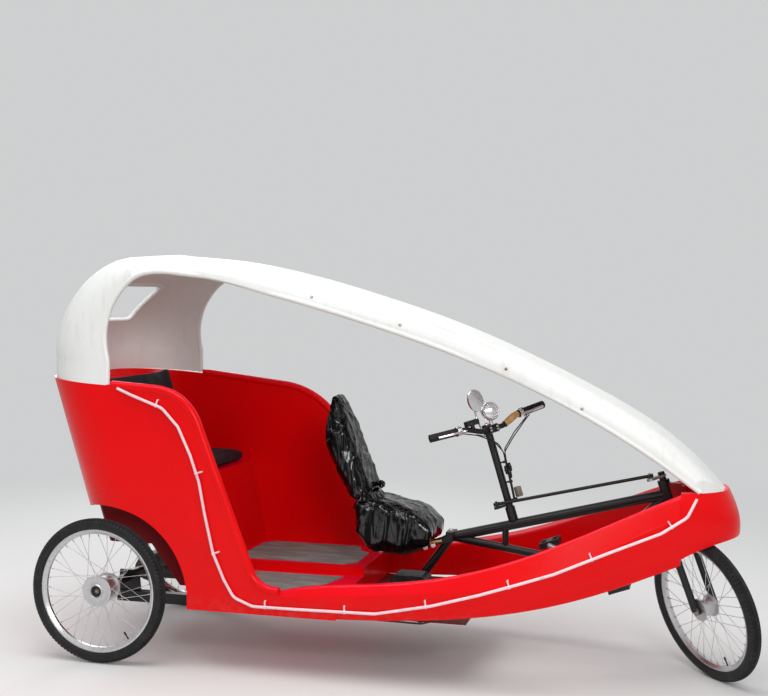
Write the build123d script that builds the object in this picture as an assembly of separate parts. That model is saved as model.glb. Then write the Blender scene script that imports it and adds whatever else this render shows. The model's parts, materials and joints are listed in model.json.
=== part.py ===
from build123d import *
from math import asin, atan2, cos, hypot, pi, radians, sin
import os

# Cycle rickshaw: moulded cab with a hood that arches forward to the nose,
# two driven rear wheels, one steered front wheel.
# Millimetres. X forward, Y to the left, Z up. Lengths along X are measured
# from the rear axle and heights from the ground; the finished model is moved
# so that its origin is under the middle of its length.

# Wheels
WHEEL_R = 307.5
TYRE_R = 27.0
RIM_R = WHEEL_R - 46.0
RIM_DEPTH = 20.0
RIM_HALF = 15.0
TRACK = 960.0
WHEELBASE = 2478.0
SPOKES = 36
SPOKE_R = 1.1
REAR_HUB_R = 50.0
REAR_FLANGE_R = 60.0
REAR_HUB_OUT = 15.0
REAR_HUB_IN = 82.0
FRONT_HUB_R = 34.0
FRONT_FLANGE_R = 46.0
FRONT_HUB_HALF = 34.0
AXLE_R = 10.0
RUN_GAP = 0.05
SEAT_GAP = 0.3

# Steering: fork axis, handlebar column and the rod between them
RAKE = 16.6
STEER_REST = -52.0
FORK_OFFSET = 35.0
HEAD_Z = 760.0
HEAD_LENGTH = 104.0
HEAD_R = 25.0
STEERER_R = 14.0
COLUMN_X = 1690.0
COLUMN_Z = 606.0
COLUMN_TOP = 1010.0
COLUMN_R = 16.0
ARM_LENGTH = 56.0
ARM_LIFT = 12.0
SOCKET_TOP = 64.0
COLUMN_ARM_LIFT = 7.0
ARM_T = 10.0
EYE_LIFT = 20.0
EYE_HALF = 7.0
EYE_R = 14.0
PIN_LENGTH = 32.0
ROD_R = 7.0
PIN_R = 5.0
OPEN_PLAY = 1.0
MOVE_GAP = 6.0
BAR_R = 11.1
BAR_HALF = 275.0
STEM = 48.0

# Moulded body
BODY_HALF = 490.0
BODY_HALF_LOW = 458.0
BODY_Z_LOW = 250.0
BODY_Z_TOP = 1200.0
BACK_X = -320.0
BACK_X_LOW = -50.0
BACK_CORNER = 290.0
WALL = 30.0
ARCH_R = 375.0
ARCH_X = 20.0
ARCH_Z = 290.0
RIGHT_SILL_X = 800.0
LEFT_SILL_X = 1010.0
SILL_Z = 346.0
DECK_Z = 760.0
DECK_FRONT = 330.0
BENCH_FOOT = 412.0
SHEET = 15.0
FLOOR_FRONT = 1040.0
FLOOR_LOW = 335.0
FLOOR_HIGH = 372.0
STEP_Y = -35.0
MAT = 4.0
NOSE_X = 2380.0
NOSE_WALL = 40.0
NOSE_TAPER = 0.33
WHEEL_SPACE = 16.0
RIM_ROUND = 13.0
BELLY_T = 6.0
BELLY_FRONT = 1560.0
BELLY_HALF = 378.0

# Hood
HOOD_T = 20.0
HOOD_C_X = 160.0
HOOD_C_Z = 1280.0
HOOD_HALF = BODY_HALF

# Drive
BB_X = 1985.0
BB_Z = 442.0
CRANK = 165.0
CHAIN_Y = -46.0
CHAIN_T = 9.0
CHAIN_W = 8.0
RING_R = 84.0
SPROCKET_R = 46.0

# Driver's seat
SEAT_LINE = [(1080, 468), (1230, 462), (1368, 512)]
SEAT_BAR = 18.0
PAD_TOP = 682.0
SEAT_HALF = 148.0
SEAT_BACK_HALF = 124.0

# Frame
TUBE_R = 21.0
BRACE_R = 17.0
JUNCTION_X = 1423.0
JUNCTION_Z = 525.0
RAIL_Y = 200.0
RAIL_W = 40.0
RAIL_H = 46.0
CROSS_H = 24.0
CROSS_REAR = 430.0
CROSS_FRONT = 1210.0


def xz_face(points, radii, y=0.0):
    """Closed outline in an upright lengthwise plane, corners rounded."""
    plane = Plane(origin=(0, y, 0), x_dir=(1, 0, 0), z_dir=(0, -1, 0))
    return plane * make_face(FilletPolyline(*points, radius=radii, close=True))


def slab(points, radii, y_low, y_high):
    """Lengthwise outline carried across from y_low to y_high."""
    return extrude(xz_face(points, radii, y_high), amount=y_high - y_low)


def cross_face(x, points, radii):
    """Closed outline in a plane across the vehicle at x."""
    plane = Plane(origin=(x, 0, 0), x_dir=(0, 1, 0), z_dir=(1, 0, 0))
    return plane * make_face(FilletPolyline(*points, radius=radii, close=True))


def block(x0, x1, y0, y1, z0, z1):
    """Box between two opposite corners."""
    return Pos((x0 + x1) / 2, (y0 + y1) / 2, (z0 + z1) / 2) * Box(x1 - x0, y1 - y0, z1 - z0)


def rod(start, end, radius):
    """Round bar between two points."""
    a = Vector(*start)
    b = Vector(*end)
    return Part() + Solid.make_cylinder(radius, (b - a).length, Plane(origin=a, z_dir=b - a))


def sleeve(start, end, outer, inner):
    """Round tube between two points."""
    return rod(start, end, outer) - rod(start, end, inner)


def pipe(points, radii, radius):
    """Round bar bent along straight runs and arcs."""
    path = FilletPolyline(*points, radius=radii)
    return sweep(Plane(origin=path @ 0, z_dir=path % 0) * Circle(radius), path=path)


def across(x, z, radius, y0, y1):
    """Cylinder lying across the vehicle."""
    return rod((x, y0, z), (x, y1, z), radius)


def fuse(pieces):
    """One shape from a list of shapes."""
    result = pieces[0]
    for piece in pieces[1:]:
        result = result + piece
    return result


# Steering geometry. Both pivots lean back by RAKE, so the two arms and the rod
# make a parallelogram.
LEAN = Vector(-sin(radians(RAKE)), 0, cos(radians(RAKE)))
CAMBER = asin(abs(sin(radians(STEER_REST))) * sin(radians(RAKE)))
FRONT_Z = (WHEEL_R - TYRE_R) * cos(CAMBER) + TYRE_R


def heading(angle):
    """Direction square to the steering axis, at an angle from straight ahead."""
    turn = radians(angle)
    return Vector(cos(radians(RAKE)) * cos(turn), sin(turn), sin(radians(RAKE)) * cos(turn))


WHEEL_FOOT = Vector(WHEELBASE, FORK_OFFSET * sin(radians(STEER_REST)), FRONT_Z)
AXIS_FOOT = WHEEL_FOOT - heading(STEER_REST) * FORK_OFFSET
HEAD = AXIS_FOOT + LEAN * ((HEAD_Z - AXIS_FOOT.Z) / LEAN.Z)
COLUMN = Vector(COLUMN_X, 0, COLUMN_Z)
STEER_AXIS = Axis(origin=HEAD, direction=LEAN)
COLUMN_AXIS = Axis(origin=COLUMN, direction=LEAN)
HEAD_TOP = HEAD + LEAN * (HEAD_LENGTH / 2)
HEAD_BOTTOM = HEAD - LEAN * (HEAD_LENGTH / 2)
STRAIGHT_HUB = AXIS_FOOT + heading(0) * FORK_OFFSET
ARM_REST = heading(STEER_REST - 90) * ARM_LENGTH


def turned(piece, axis):
    """Piece built straight ahead, turned to the parked steering angle."""
    return piece.rotate(axis, STEER_REST)


# Moulded cab

def tub_outline(z, inset):
    """U-shaped plan of the cab at a height, as a face."""
    share = (z - BODY_Z_LOW) / (BODY_Z_TOP - BODY_Z_LOW)
    half = BODY_HALF_LOW + (BODY_HALF - BODY_HALF_LOW) * share - inset
    back = BACK_X_LOW + (BACK_X - BACK_X_LOW) * share + inset
    points = [(back, -half), (LEFT_SILL_X + 100, -half), (LEFT_SILL_X + 100, half), (back, half)]
    corner = BACK_CORNER - inset
    return Plane.XY.offset(z) * make_face(
        FilletPolyline(*points, radius=[corner, 0, 0, corner], close=True))


def tub_solid(inset):
    """Drafted block of the cab, inset all round."""
    return loft([tub_outline(BODY_Z_LOW, inset), tub_outline(BODY_Z_TOP + 30, inset)], ruled=True)


RIM_RIGHT = [(-450, 1212), (400, 1156), (700, SILL_Z), (RIGHT_SILL_X, SILL_Z + 2),
             (RIGHT_SILL_X, BODY_Z_LOW), (-450, BODY_Z_LOW)]
RIM_LEFT = [(-450, 1212), (100, 1172), (720, 1096), (985, SILL_Z + 60), (LEFT_SILL_X, SILL_Z + 6),
            (LEFT_SILL_X, BODY_Z_LOW), (-450, BODY_Z_LOW)]


def cab_shell(inner):
    """Back and side walls; the right side has the low way in."""
    walls = tub_solid(0) - inner
    right = slab(RIM_RIGHT, [0, 210, 120, 0, 0, 0], -700, 0)
    left = slab(RIM_LEFT, [0, 900, 380, 0, 0, 0, 0], 0, 700)
    walls = walls & (right + left)
    walls = walls - across(ARCH_X, ARCH_Z, ARCH_R, -700, 700)
    below = slab([(-450, 200), (ARCH_X, 200), (ARCH_X, 620), (-450, 620)], 0, -700, 700)
    return walls - below


BENCH_LINE = [(BENCH_FOOT, FLOOR_LOW - 2), (DECK_FRONT, DECK_Z - SHEET / 2), (-34, DECK_Z - SHEET / 2),
              (-158, 1160), (-330, 1160)]


def bench_moulding(inner, floor):
    """Seat box front, seat deck, backrest and the shelf behind it."""
    outer = [(x + SHEET / 2, z + SHEET / 2) for x, z in BENCH_LINE]
    lower = [(x - SHEET / 2, z - SHEET / 2) for x, z in BENCH_LINE]
    strip = outer + lower[::-1]
    shell = slab(strip, 0, -BODY_HALF, BODY_HALF)
    return (shell & inner) - floor


def wheel_boxes(inner, floor, bench):
    """Liners over the rear wheels with their inboard cheeks."""
    pieces = []
    for side in (-1, 1):
        cheek = TRACK / 2 - REAR_HUB_IN - 13
        low, high = sorted((side * cheek, side * BODY_HALF))
        hoop = across(ARCH_X, ARCH_Z, ARCH_R + 12, low, high) - across(ARCH_X, ARCH_Z, ARCH_R, low - 1, high + 1)
        plate_low, plate_high = sorted((side * cheek, side * (cheek - 12)))
        plate = across(ARCH_X, ARCH_Z, ARCH_R + 12, plate_low, plate_high)
        keep = slab([(-120, 660), (-60, 500), (200, 500), (330, 330), (396, 330), (420, 700)], 0, -600, 600)
        pieces.append((hoop + plate) & keep & inner)
    return fuse(pieces) - floor - bench


def floor_pan(shell, right_arm, left_arm):
    """Double-skinned floor, one step lower on the entry side."""
    low = block(BENCH_FOOT - 14, FLOOR_FRONT, -BODY_HALF, STEP_Y, BODY_Z_LOW, FLOOR_LOW)
    high = block(BENCH_FOOT - 14, FLOOR_FRONT, STEP_Y, BODY_HALF, BODY_Z_LOW, FLOOR_HIGH)
    pan = (low + high) & tub_solid(0)
    return pan - shell - right_arm - left_arm


# Columns: x, outer half-width, underside, widest height, crest, width of the arm
ARM_SECTIONS = [
    (800, 462, 250, 322, 352, 68),
    (1040, 467, 252, 346, 392, 77),
    (1350, 463, 268, 375, 424, 88),
    (1700, 428, 306, 420, 506, 90),
    (2050, 345, 384, 540, 645, 74),
    (2380, 236, 500, 690, 790, 52),
]


def side_arm(side, x_start):
    """Boat-shaped side member from the sill to the nose, one side."""
    faces = []
    for x, outer, low, wide, crest, width in ARM_SECTIONS:
        if x < x_start - 1:
            continue
        depth = crest - low
        points = [(outer - 0.12 * depth, low), (outer - 0.035 * depth, (low + wide) / 2), (outer, wide),
                  (outer - 0.30 * width, crest), (outer - width, crest - 0.06 * depth),
                  (outer - width - 0.03 * depth, low)]
        points = [(side * y, z) for y, z in points]
        faces.append(cross_face(x, points, [10, 60, 26, 14, 12, 6]))
    if faces[0].center().X > x_start + 1:
        faces[0] = Pos(x_start - ARM_SECTIONS[1][0], 0, 0) * faces[0]
    return loft(faces)


# Columns: height, half-width at the joint with the arms, reach ahead of the joint
NOSE_SECTIONS = [
    (500, 199, 160),
    (600, 226, 227),
    (690, 236, 224),
    (790, 220, 184),
]


def nose_bow(half, reach, inset):
    """Bow in plan: it leaves the arms in their own direction and turns across the front."""
    side = half - inset
    tip = NOSE_X + reach - inset
    return Spline((NOSE_X, side), (tip, 0), (NOSE_X, -side), tangents=((1, -NOSE_TAPER), (-1, -NOSE_TAPER)))


def nose_block(inset):
    """Rounded bow built from level D-shaped sections."""
    faces = []
    for z, half, reach in NOSE_SECTIONS:
        base = Line((NOSE_X, -(half - inset)), (NOSE_X, half - inset))
        faces.append(Plane.XY.offset(z) * make_face([base, nose_bow(half, reach, inset)]))
    return loft(faces)


def nose():
    """Front of the moulding, open below and cut away over the front wheel."""
    shell = nose_block(0) - nose_block(NOSE_WALL)
    under = slab([(NOSE_X - 10, 400), (NOSE_X - 10, 500), (2500, 548), (2700, 600), (2700, 400)], 0, -300, 300)
    wheel_space = Pos(*STRAIGHT_HUB) * Sphere(WHEEL_R + WHEEL_SPACE)
    return shell - under - wheel_space


# Hood
# Columns: angle above the rear horizontal, edge radius, crown radius, corner radius
HOOD_TURNS = [
    (0, 115, 480, 288),
    (22.5, 135, 476, 262),
    (45, 178, 468, 225),
    (67.5, 250, 462, 160),
    (90, 345, 460, 80),
]
# Columns: x, crown height, edge height, half-width, corner radius, bow of the crown
HOOD_SPANS = [
    (160, 1740, 1625, 490, 80, 28),
    (450, 1712, 1640, 488, 40, 28),
    (760, 1656, 1562, 415, 50, 26),
    (1110, 1560, 1450, 275, 70, 22),
    (1520, 1418, 1306, 218, 76, 18),
    (1950, 1222, 1112, 202, 76, 18),
    (2300, 1022, 904, 198, 80, 18),
    (2455, 892, 790, 196, 76, 18),
    (2620, 712, 600, 190, 76, 18),
]


def arch_face(plane, half, edge, crown, corner, bow):
    """U-shaped strip in a plane: two sides, two corners and a gently bowed crown."""
    outer = [(-half, edge), (-half, crown - bow), (0, crown), (half, crown - bow), (half, edge)]
    inside = half - HOOD_T
    inner = [(inside, edge), (inside, crown - bow - HOOD_T), (0, crown - HOOD_T),
             (-inside, crown - bow - HOOD_T), (-inside, edge)]
    radii = [0, corner, 0, corner, 0, 0, corner - HOOD_T, 0, corner - HOOD_T, 0]
    return plane * make_face(FilletPolyline(*(outer + inner), radius=radii, close=True))


def hood_rear():
    """Back of the hood: rear panel, two quarter panels and the start of the roof."""
    faces = []
    bow = HOOD_SPANS[0][-1]
    for angle, edge, crown, corner in HOOD_TURNS:
        turn = radians(angle)
        outward = Vector(-cos(turn), 0, sin(turn))
        plane = Plane(origin=(HOOD_C_X, 0, HOOD_C_Z), x_dir=(0, 1, 0), z_dir=Vector(0, 1, 0).cross(outward))
        faces.append(arch_face(plane, HOOD_HALF, edge, crown, corner, bow))
    shell = loft(faces) + extrude(faces[0], amount=-160)
    rim = slab([(-450, 1212), (400, 1156), (400, 1000), (-450, 1000)], 0, -700, 700)
    window = Plane(origin=(-500, 0, 0), x_dir=(0, 1, 0), z_dir=(1, 0, 0)) * make_face(
        FilletPolyline((-300, 1435), (300, 1435), (375, 1610), (-375, 1610), radius=25, close=True))
    return shell - rim - extrude(window, amount=480)


def arch_block(plane, span, inset, drop):
    """Filled arch of a span, inset all round and carried down below its edge by a drop."""
    crown, edge, half, corner, bow = span
    side = half - inset
    top = crown - inset
    points = [(-side, edge - drop), (-side, top - bow), (0, top), (side, top - bow), (side, edge - drop)]
    radii = [0, corner - inset, 0, corner - inset, 0]
    return plane * make_face(FilletPolyline(*points, radius=radii, close=True))


def hood_spine():
    """Roof that narrows to a band and comes down on the nose, with rolled edges."""
    planes = [Plane(origin=(span[0], 0, 0), x_dir=(0, 1, 0), z_dir=(1, 0, 0)) for span in HOOD_SPANS]
    outer = loft([arch_block(plane, span[1:], 0, 0) for plane, span in zip(planes, HOOD_SPANS)])
    inner = loft([arch_block(plane, span[1:], HOOD_T, 60) for plane, span in zip(planes, HOOD_SPANS)])
    return (outer & nose_plan(0)) - (inner & nose_plan(HOOD_T))


def nose_plan(inset):
    """Upright block over the nose and the band, which trims the front of the hood to the nose."""
    top, half, reach = NOSE_SECTIONS[-1]
    side = half - inset
    base = Line((0, -600), (0, 600))
    left = Line((0, 600), (NOSE_X - 300, 600))
    step = Line((NOSE_X - 300, 600), (NOSE_X, side))
    back = Line((NOSE_X, -side), (NOSE_X - 300, -600))
    right = Line((NOSE_X - 300, -600), (0, -600))
    plan = make_face([base, left, step, nose_bow(half, reach, inset), back, right])
    return extrude(Plane.XY.offset(top) * plan, amount=1200)


# Cushions, mats and the driver's seat

def seat_cushion():
    """Bench cushion."""
    points = [(-20, DECK_Z + SEAT_GAP), (325, DECK_Z + SEAT_GAP), (332, DECK_Z + 52), (-20, DECK_Z + 62)]
    return slab(points, [8, 12, 18, 12], -405, 405)


# Columns: distance up the backrest, distance out from it
BACK_CUSHION = [(66, 0), (438, 0), (456, 78), (90, 78)]


def back_cushion():
    """Backrest cushion against the moulded backrest."""
    run = Vector(BENCH_LINE[3][0] - BENCH_LINE[2][0], BENCH_LINE[3][1] - BENCH_LINE[2][1]).normalized()
    out = Vector(run.Y, -run.X)
    foot = Vector(*BENCH_LINE[2]) + Vector(SHEET / 2, SHEET / 2) + out * SEAT_GAP
    corners = []
    for along, deep in BACK_CUSHION:
        corner = foot + run * along + out * deep
        corners.append((corner.X, corner.Y))
    return slab(corners, [10, 14, 18, 14], -400, 400)


def floor_mats():
    """Grey grip mats on the two levels of the floor."""
    low = [(430, -72), (430, -330), (480, -378), (760, -378), (900, -330), (960, -72)]
    high = [(432, 8), (432, 330), (480, 392), (900, 392), (985, 250), (985, 60), (930, 8)]
    lower = extrude(Plane.XY.offset(FLOOR_LOW) * make_face(Polyline(*low, close=True)), amount=MAT)
    upper = extrude(Plane.XY.offset(FLOOR_HIGH) * make_face(Polyline(*high, close=True)), amount=MAT)
    return lower + upper


def driver_seat_base():
    """Driver's saddle pad under its cover."""
    points = [(1026, 548)] + SEAT_LINE + [(1368, 572), (1306, 640), (1140, PAD_TOP), (1016, PAD_TOP)]
    return slab(points, [30, 24, 60, 24, 34, 50, 60, 24], -SEAT_HALF, SEAT_HALF)


def seat_bracket(frame):
    """Two flat bars under the driver's seat and their clamp at the tube junction."""
    top = [(x, z - SEAT_GAP) for x, z in SEAT_LINE] + [(1436, JUNCTION_Z + 26)]
    low = [(x, z - SEAT_BAR) for x, z in top]
    low[-1] = (1436, JUNCTION_Z - 8)
    pieces = []
    for side in (-1, 1):
        near, far = sorted((side * 40, side * 52))
        pieces.append(slab(top + low[::-1], [0, 60, 0, 0, 0, 0, 60, 0], near, far))
    pieces.append(block(1404, 1436, -40, 40, JUNCTION_Z - 8, JUNCTION_Z + 26))
    return fuse(pieces) - frame


def driver_seat_back():
    """Driver's backrest under its cover, narrower to the top."""
    low = PAD_TOP + SEAT_GAP
    points = [(1006, low), (926, 808), (884, 915), (882, 1020), (902, 1136), (926, 1128), (968, 1000),
              (1012, 890), (1060, 780), (1100, low)]
    side = slab(points, [14, 60, 60, 60, 8, 10, 60, 60, 60, 14], -SEAT_BACK_HALF, SEAT_BACK_HALF)
    front = [(-SEAT_BACK_HALF, low), (-SEAT_BACK_HALF, 980), (-56, 1150), (56, 1150), (SEAT_BACK_HALF, 980),
             (SEAT_BACK_HALF, low)]
    return side & extrude(cross_face(800, front, [0, 60, 20, 20, 60, 0]), amount=400)


def battery_box():
    """Rounded battery case on the belly pan, right of the seat stay."""
    low = BODY_Z_LOW + SEAT_GAP + BELLY_T + SEAT_GAP
    case = slab([(1198, low), (1352, low), (1352, 372), (1330, 386), (1216, 386), (1198, 372)],
                [0, 0, 14, 14, 14, 14], -186, -76)
    return case


def belly_pan():
    """Sheet that closes the body from below between the floor and the pedals, slotted for chain and stay."""
    low = BODY_Z_LOW + SEAT_GAP
    sheet = block(FLOOR_FRONT + SEAT_GAP, BELLY_FRONT, -BELLY_HALF, BELLY_HALF, low, low + BELLY_T)
    chain_slot = block(1296, 1450, CHAIN_Y - 26, CHAIN_Y + 26, low - 10, low + 20)
    stay_slot = block(CROSS_FRONT - 22, CROSS_FRONT + 44, -22, 22, low - 10, low + 20)
    return sheet - chain_slot - stay_slot


# Frame

def frame_tubes():
    """Main tube, brace, short post, down tube and seat stay of the driver's frame."""
    junction = (JUNCTION_X, 0, JUNCTION_Z)
    head = tuple(HEAD - LEAN * 8)
    low_head = tuple(HEAD_BOTTOM + LEAN * 37)
    bracket = (BB_X, 0, BB_Z)
    main = rod(junction, head, TUBE_R)
    brace = rod(junction, bracket, BRACE_R)
    down = rod(bracket, low_head, BRACE_R)
    post_x = 1655.0
    post = rod((post_x, 0, 590), (post_x, 0, 478), 14)
    stay = rod(junction, (CROSS_FRONT, 0, BODY_Z_LOW - CROSS_H / 2), BRACE_R)
    tubes = main + brace + down + post + stay
    head_space = rod(tuple(HEAD_TOP), tuple(HEAD_BOTTOM), HEAD_R)
    head_space = head_space + rod(tuple(HEAD_BOTTOM), tuple(HEAD_BOTTOM - LEAN * 80), HEAD_R + MOVE_GAP)
    shell_space = across(BB_X, BB_Z, 24, -36, 36)
    return tubes - head_space - shell_space


def head_tube():
    """Bearing tube of the fork."""
    return sleeve(tuple(HEAD_TOP), tuple(HEAD_BOTTOM), HEAD_R, STEERER_R + RUN_GAP)


def bottom_bracket():
    """Bearing shell of the cranks."""
    return across(BB_X, BB_Z, 24, -36, 36) - across(BB_X, BB_Z, 9 + RUN_GAP, -40, 40)


def column_socket(frame):
    """Bearing tube of the handlebar column, welded on the main tube."""
    low = COLUMN + LEAN * 4
    high = COLUMN + LEAN * SOCKET_TOP
    return sleeve(tuple(low), tuple(high), COLUMN_R + 5, COLUMN_R - 3 + RUN_GAP) - frame


def nose_bracket():
    """Red post inside the nose that holds the head tube."""
    plate = slab([(HEAD.X + 12, 700), (HEAD.X + 88, 690), (HEAD.X + 70, 800), (HEAD.X + 2, 800)], 6, -16, 16)
    bar = block(HEAD.X + 52, HEAD.X + 76, -230, 230, 716, 744)
    post = plate + bar
    keep = nose_block(NOSE_WALL) + block(NOSE_X - 200, NOSE_X, -172, 172, 600, 830)
    post = (post & keep) - rod(tuple(HEAD_TOP), tuple(HEAD_BOTTOM), HEAD_R)
    post = post - rod(tuple(HEAD_TOP), tuple(HEAD_TOP + LEAN * 60), HEAD_R + MOVE_GAP)
    low = HEAD_BOTTOM + LEAN * MOVE_GAP
    return post - rod(tuple(low), tuple(low - LEAN * 90), HEAD_R + MOVE_GAP)


def chassis(frame):
    """Two rails under the floor, their cross members and the axle plates."""
    z1 = BODY_Z_LOW
    z0 = z1 - RAIL_H
    pieces = []
    for side in (-1, 1):
        low, high = sorted((side * RAIL_Y, side * (RAIL_Y + RAIL_W)))
        pieces.append(block(-40, 1240, low, high, z0, z1))
        plate = slab([(-46, z0), (70, z0), (60, WHEEL_R), (32, WHEEL_R + 34), (-32, WHEEL_R + 34)], 0, low + 14, high - 14)
        pieces.append(plate)
    for x in (CROSS_REAR, CROSS_FRONT):
        pieces.append(block(x - 20, x + 20, -RAIL_Y, RAIL_Y, z1 - CROSS_H, z1))
    return fuse(pieces) - across(0, WHEEL_R, 20, -400, 400) - frame


def rear_axle():
    """Axle tube, differential housing, sprocket and the stub ends for the wheels."""
    inner_end = TRACK / 2 - REAR_HUB_IN - 20
    stub_end = TRACK / 2 + REAR_HUB_OUT - 8
    pieces = [across(0, WHEEL_R, 20, -inner_end, inner_end)]
    pieces.append(across(0, WHEEL_R, AXLE_R, -stub_end, stub_end))
    pieces.append(across(0, WHEEL_R, 58, -20, 90))
    pieces.append(across(0, WHEEL_R, SPROCKET_R - CHAIN_T / 2, CHAIN_Y - 3, CHAIN_Y + 3))
    return fuse(pieces)


# Chain
# Columns: x, z, radius, turning sense along the chain (1 left, -1 right)
PULLEYS = [
    (BB_X, BB_Z, RING_R, -1),
    (1296, 172, 24, -1),
    (332, 178, 20, -1),
    (0, WHEEL_R, SPROCKET_R, -1),
    (300, 236, 24, 1),
    (1330, 236, 24, 1),
]


def belt(circles, grow):
    """Closed line round the pulleys, grown outward by a distance."""
    sized = [(x, z, r - sense * grow, sense) for x, z, r, sense in circles]
    count = len(sized)
    tangents = []
    for i in range(count):
        x0, z0, r0, s0 = sized[i]
        x1, z1, r1, s1 = sized[(i + 1) % count]
        gap = hypot(x1 - x0, z1 - z0)
        turn = atan2(z1 - z0, x1 - x0) - asin((s1 * r1 - s0 * r0) / gap)
        normal = (-sin(turn), cos(turn))
        start = (x0 - s0 * r0 * normal[0], z0 - s0 * r0 * normal[1])
        end = (x1 - s1 * r1 * normal[0], z1 - s1 * r1 * normal[1])
        tangents.append((start, end))
    edges = []
    for i in range(count):
        x0, z0, r0, s0 = sized[i]
        arrive = tangents[i - 1][1]
        leave = tangents[i][0]
        first = atan2(arrive[1] - z0, arrive[0] - x0)
        last = atan2(leave[1] - z0, leave[0] - x0)
        sweep_angle = s0 * ((s0 * (last - first)) % (2 * pi))
        middle = first + sweep_angle / 2
        edges.append(ThreePointArc(arrive, (x0 + r0 * cos(middle), z0 + r0 * sin(middle)), leave))
        edges.append(Line(*tangents[i]))
    return make_face(edges)


def chain():
    """Roller chain as one closed band."""
    plane = Plane(origin=(0, CHAIN_Y + CHAIN_W / 2, 0), x_dir=(1, 0, 0), z_dir=(0, -1, 0))
    band = belt(PULLEYS, CHAIN_T / 2) - belt(PULLEYS, -CHAIN_T / 2)
    return extrude(plane * band, amount=CHAIN_W)


def chain_idlers():
    """Four guide pulleys, in pairs on two hangers bolted to the cross members."""
    hang_low = CHAIN_Y + 18
    hang_high = CHAIN_Y + 24
    pieces = []
    for x, z, radius, sense in PULLEYS:
        if radius in (RING_R, SPROCKET_R):
            continue
        pieces.append(across(x, z, radius - CHAIN_T / 2 - SEAT_GAP, CHAIN_Y - 5, CHAIN_Y + 5))
        pieces.append(across(x, z, 5, CHAIN_Y - 8, hang_high))
    rear = [(286, 250), (286, 222), (318, 162), (346, 162), (CROSS_REAR - 20, 226), (CROSS_REAR - 20, 250)]
    front = [(CROSS_FRONT + 20, 250), (CROSS_FRONT + 20, 226), (1282, 158), (1310, 158), (1346, 222), (1346, 250)]
    pieces.append(slab(rear, [6, 6, 6, 6, 0, 0], hang_low, hang_high))
    pieces.append(slab(front, [0, 0, 6, 6, 6, 6], hang_low, hang_high))
    return fuse(pieces)


def crankset():
    """Chainring, spindle and two crank arms; the left arm points back and up."""
    lift = 20.0
    tip = (BB_X - CRANK * cos(radians(lift)), BB_Z + CRANK * sin(radians(lift)))
    toe = (2 * BB_X - tip[0], 2 * BB_Z - tip[1])
    spindle = across(BB_X, BB_Z, 9, -66, 66)
    ring = across(BB_X, BB_Z, RING_R - CHAIN_T / 2 - SEAT_GAP, CHAIN_Y - 2, CHAIN_Y + 2)
    for i in range(5):
        turn = 2 * pi * i / 5
        ring = ring - across(BB_X + 52 * cos(turn), BB_Z + 52 * sin(turn), 17, -90, 0)
    left = rod((BB_X, 62, BB_Z), (tip[0], 66, tip[1]), 10)
    right = rod((BB_X, -62, BB_Z), (toe[0], -66, toe[1]), 10)
    pieces = [spindle, ring, left, right]
    pieces.append(across(tip[0], tip[1], 6, 60, 84))
    pieces.append(across(toe[0], toe[1], 6, -84, -60))
    return fuse(pieces), tip, toe


def pedals(tip, toe):
    """Two platform pedals: cage, body and axle sleeve."""
    pieces = []
    for side, (x, z) in ((1, tip), (-1, toe)):
        low, high = sorted((side * 84.0, side * 170.0))
        cage = block(x - 44, x + 44, low, high, z - 12, z + 12)
        gap_low, gap_high = sorted((side * 96.0, side * 158.0))
        cage = cage - block(x + 14, x + 36, gap_low, gap_high, z - 20, z + 20)
        cage = cage - block(x - 36, x - 14, gap_low, gap_high, z - 20, z + 20)
        pieces.append(Pos(x, 0, z) * Rot(0, -20, 0) * Pos(-x, 0, -z) * cage)
    return fuse(pieces)


# Wheels, built about the origin with their axle along Y

def tyre():
    """Tyre of round section, seated on the rim."""
    bead = RIM_HALF - 3
    middle = WHEEL_R - TYRE_R
    slant = TYRE_R * cos(pi / 4)
    edges = [Line((RIM_R - 2, -bead), (RIM_R - 2, bead)), Line((RIM_R - 2, bead), (middle - slant, slant)),
             ThreePointArc((middle - slant, slant), (WHEEL_R, 0), (middle - slant, -slant)),
             Line((middle - slant, -slant), (RIM_R - 2, -bead))]
    profile = Plane.XZ * make_face(edges)
    ring = revolve(profile, Axis.Z)
    return Rot(90, 0, 0) * ring - rim()


def rim():
    """Box-section rim with a shallow tyre bed."""
    profile = Plane.XZ * make_face(Polyline(
        (RIM_R - RIM_DEPTH, -6), (RIM_R - RIM_DEPTH, 6), (RIM_R - 8, RIM_HALF), (RIM_R + 5, RIM_HALF),
        (RIM_R + 5, RIM_HALF - 3), (RIM_R - 3, RIM_HALF - 4), (RIM_R - 3, -RIM_HALF + 4),
        (RIM_R + 5, -RIM_HALF + 3), (RIM_R + 5, -RIM_HALF), (RIM_R - 8, -RIM_HALF), close=True))
    return Rot(90, 0, 0) * revolve(profile, Axis.Z)


def hub(body_r, flange_r, y_in, y_out, bore):
    """Spoked hub: barrel, two flanges, laced spokes, one solid."""
    barrel = across(0, 0, body_r, y_in, y_out)
    flange_a = across(0, 0, flange_r, y_out - 6, y_out)
    flange_b = across(0, 0, flange_r, y_in, y_in + 6)
    pieces = [barrel + flange_a + flange_b]
    end_r = RIM_R - RIM_DEPTH - 2 * SEAT_GAP
    for i in range(SPOKES):
        y = (y_out - 3) if i % 2 else (y_in + 3)
        lace = 1 if (i // 2) % 2 else -1
        turn = 2 * pi * i / SPOKES
        start_turn = turn + lace * radians(48)
        start = ((flange_r - 6) * cos(start_turn), y, (flange_r - 6) * sin(start_turn))
        end = (end_r * cos(turn), 0, end_r * sin(turn))
        pieces.append(rod(start, end, SPOKE_R))
    whole = pieces[0].fuse(*pieces[1:])
    return whole - across(0, 0, bore, y_in - 1, y_out + 1)


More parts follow.
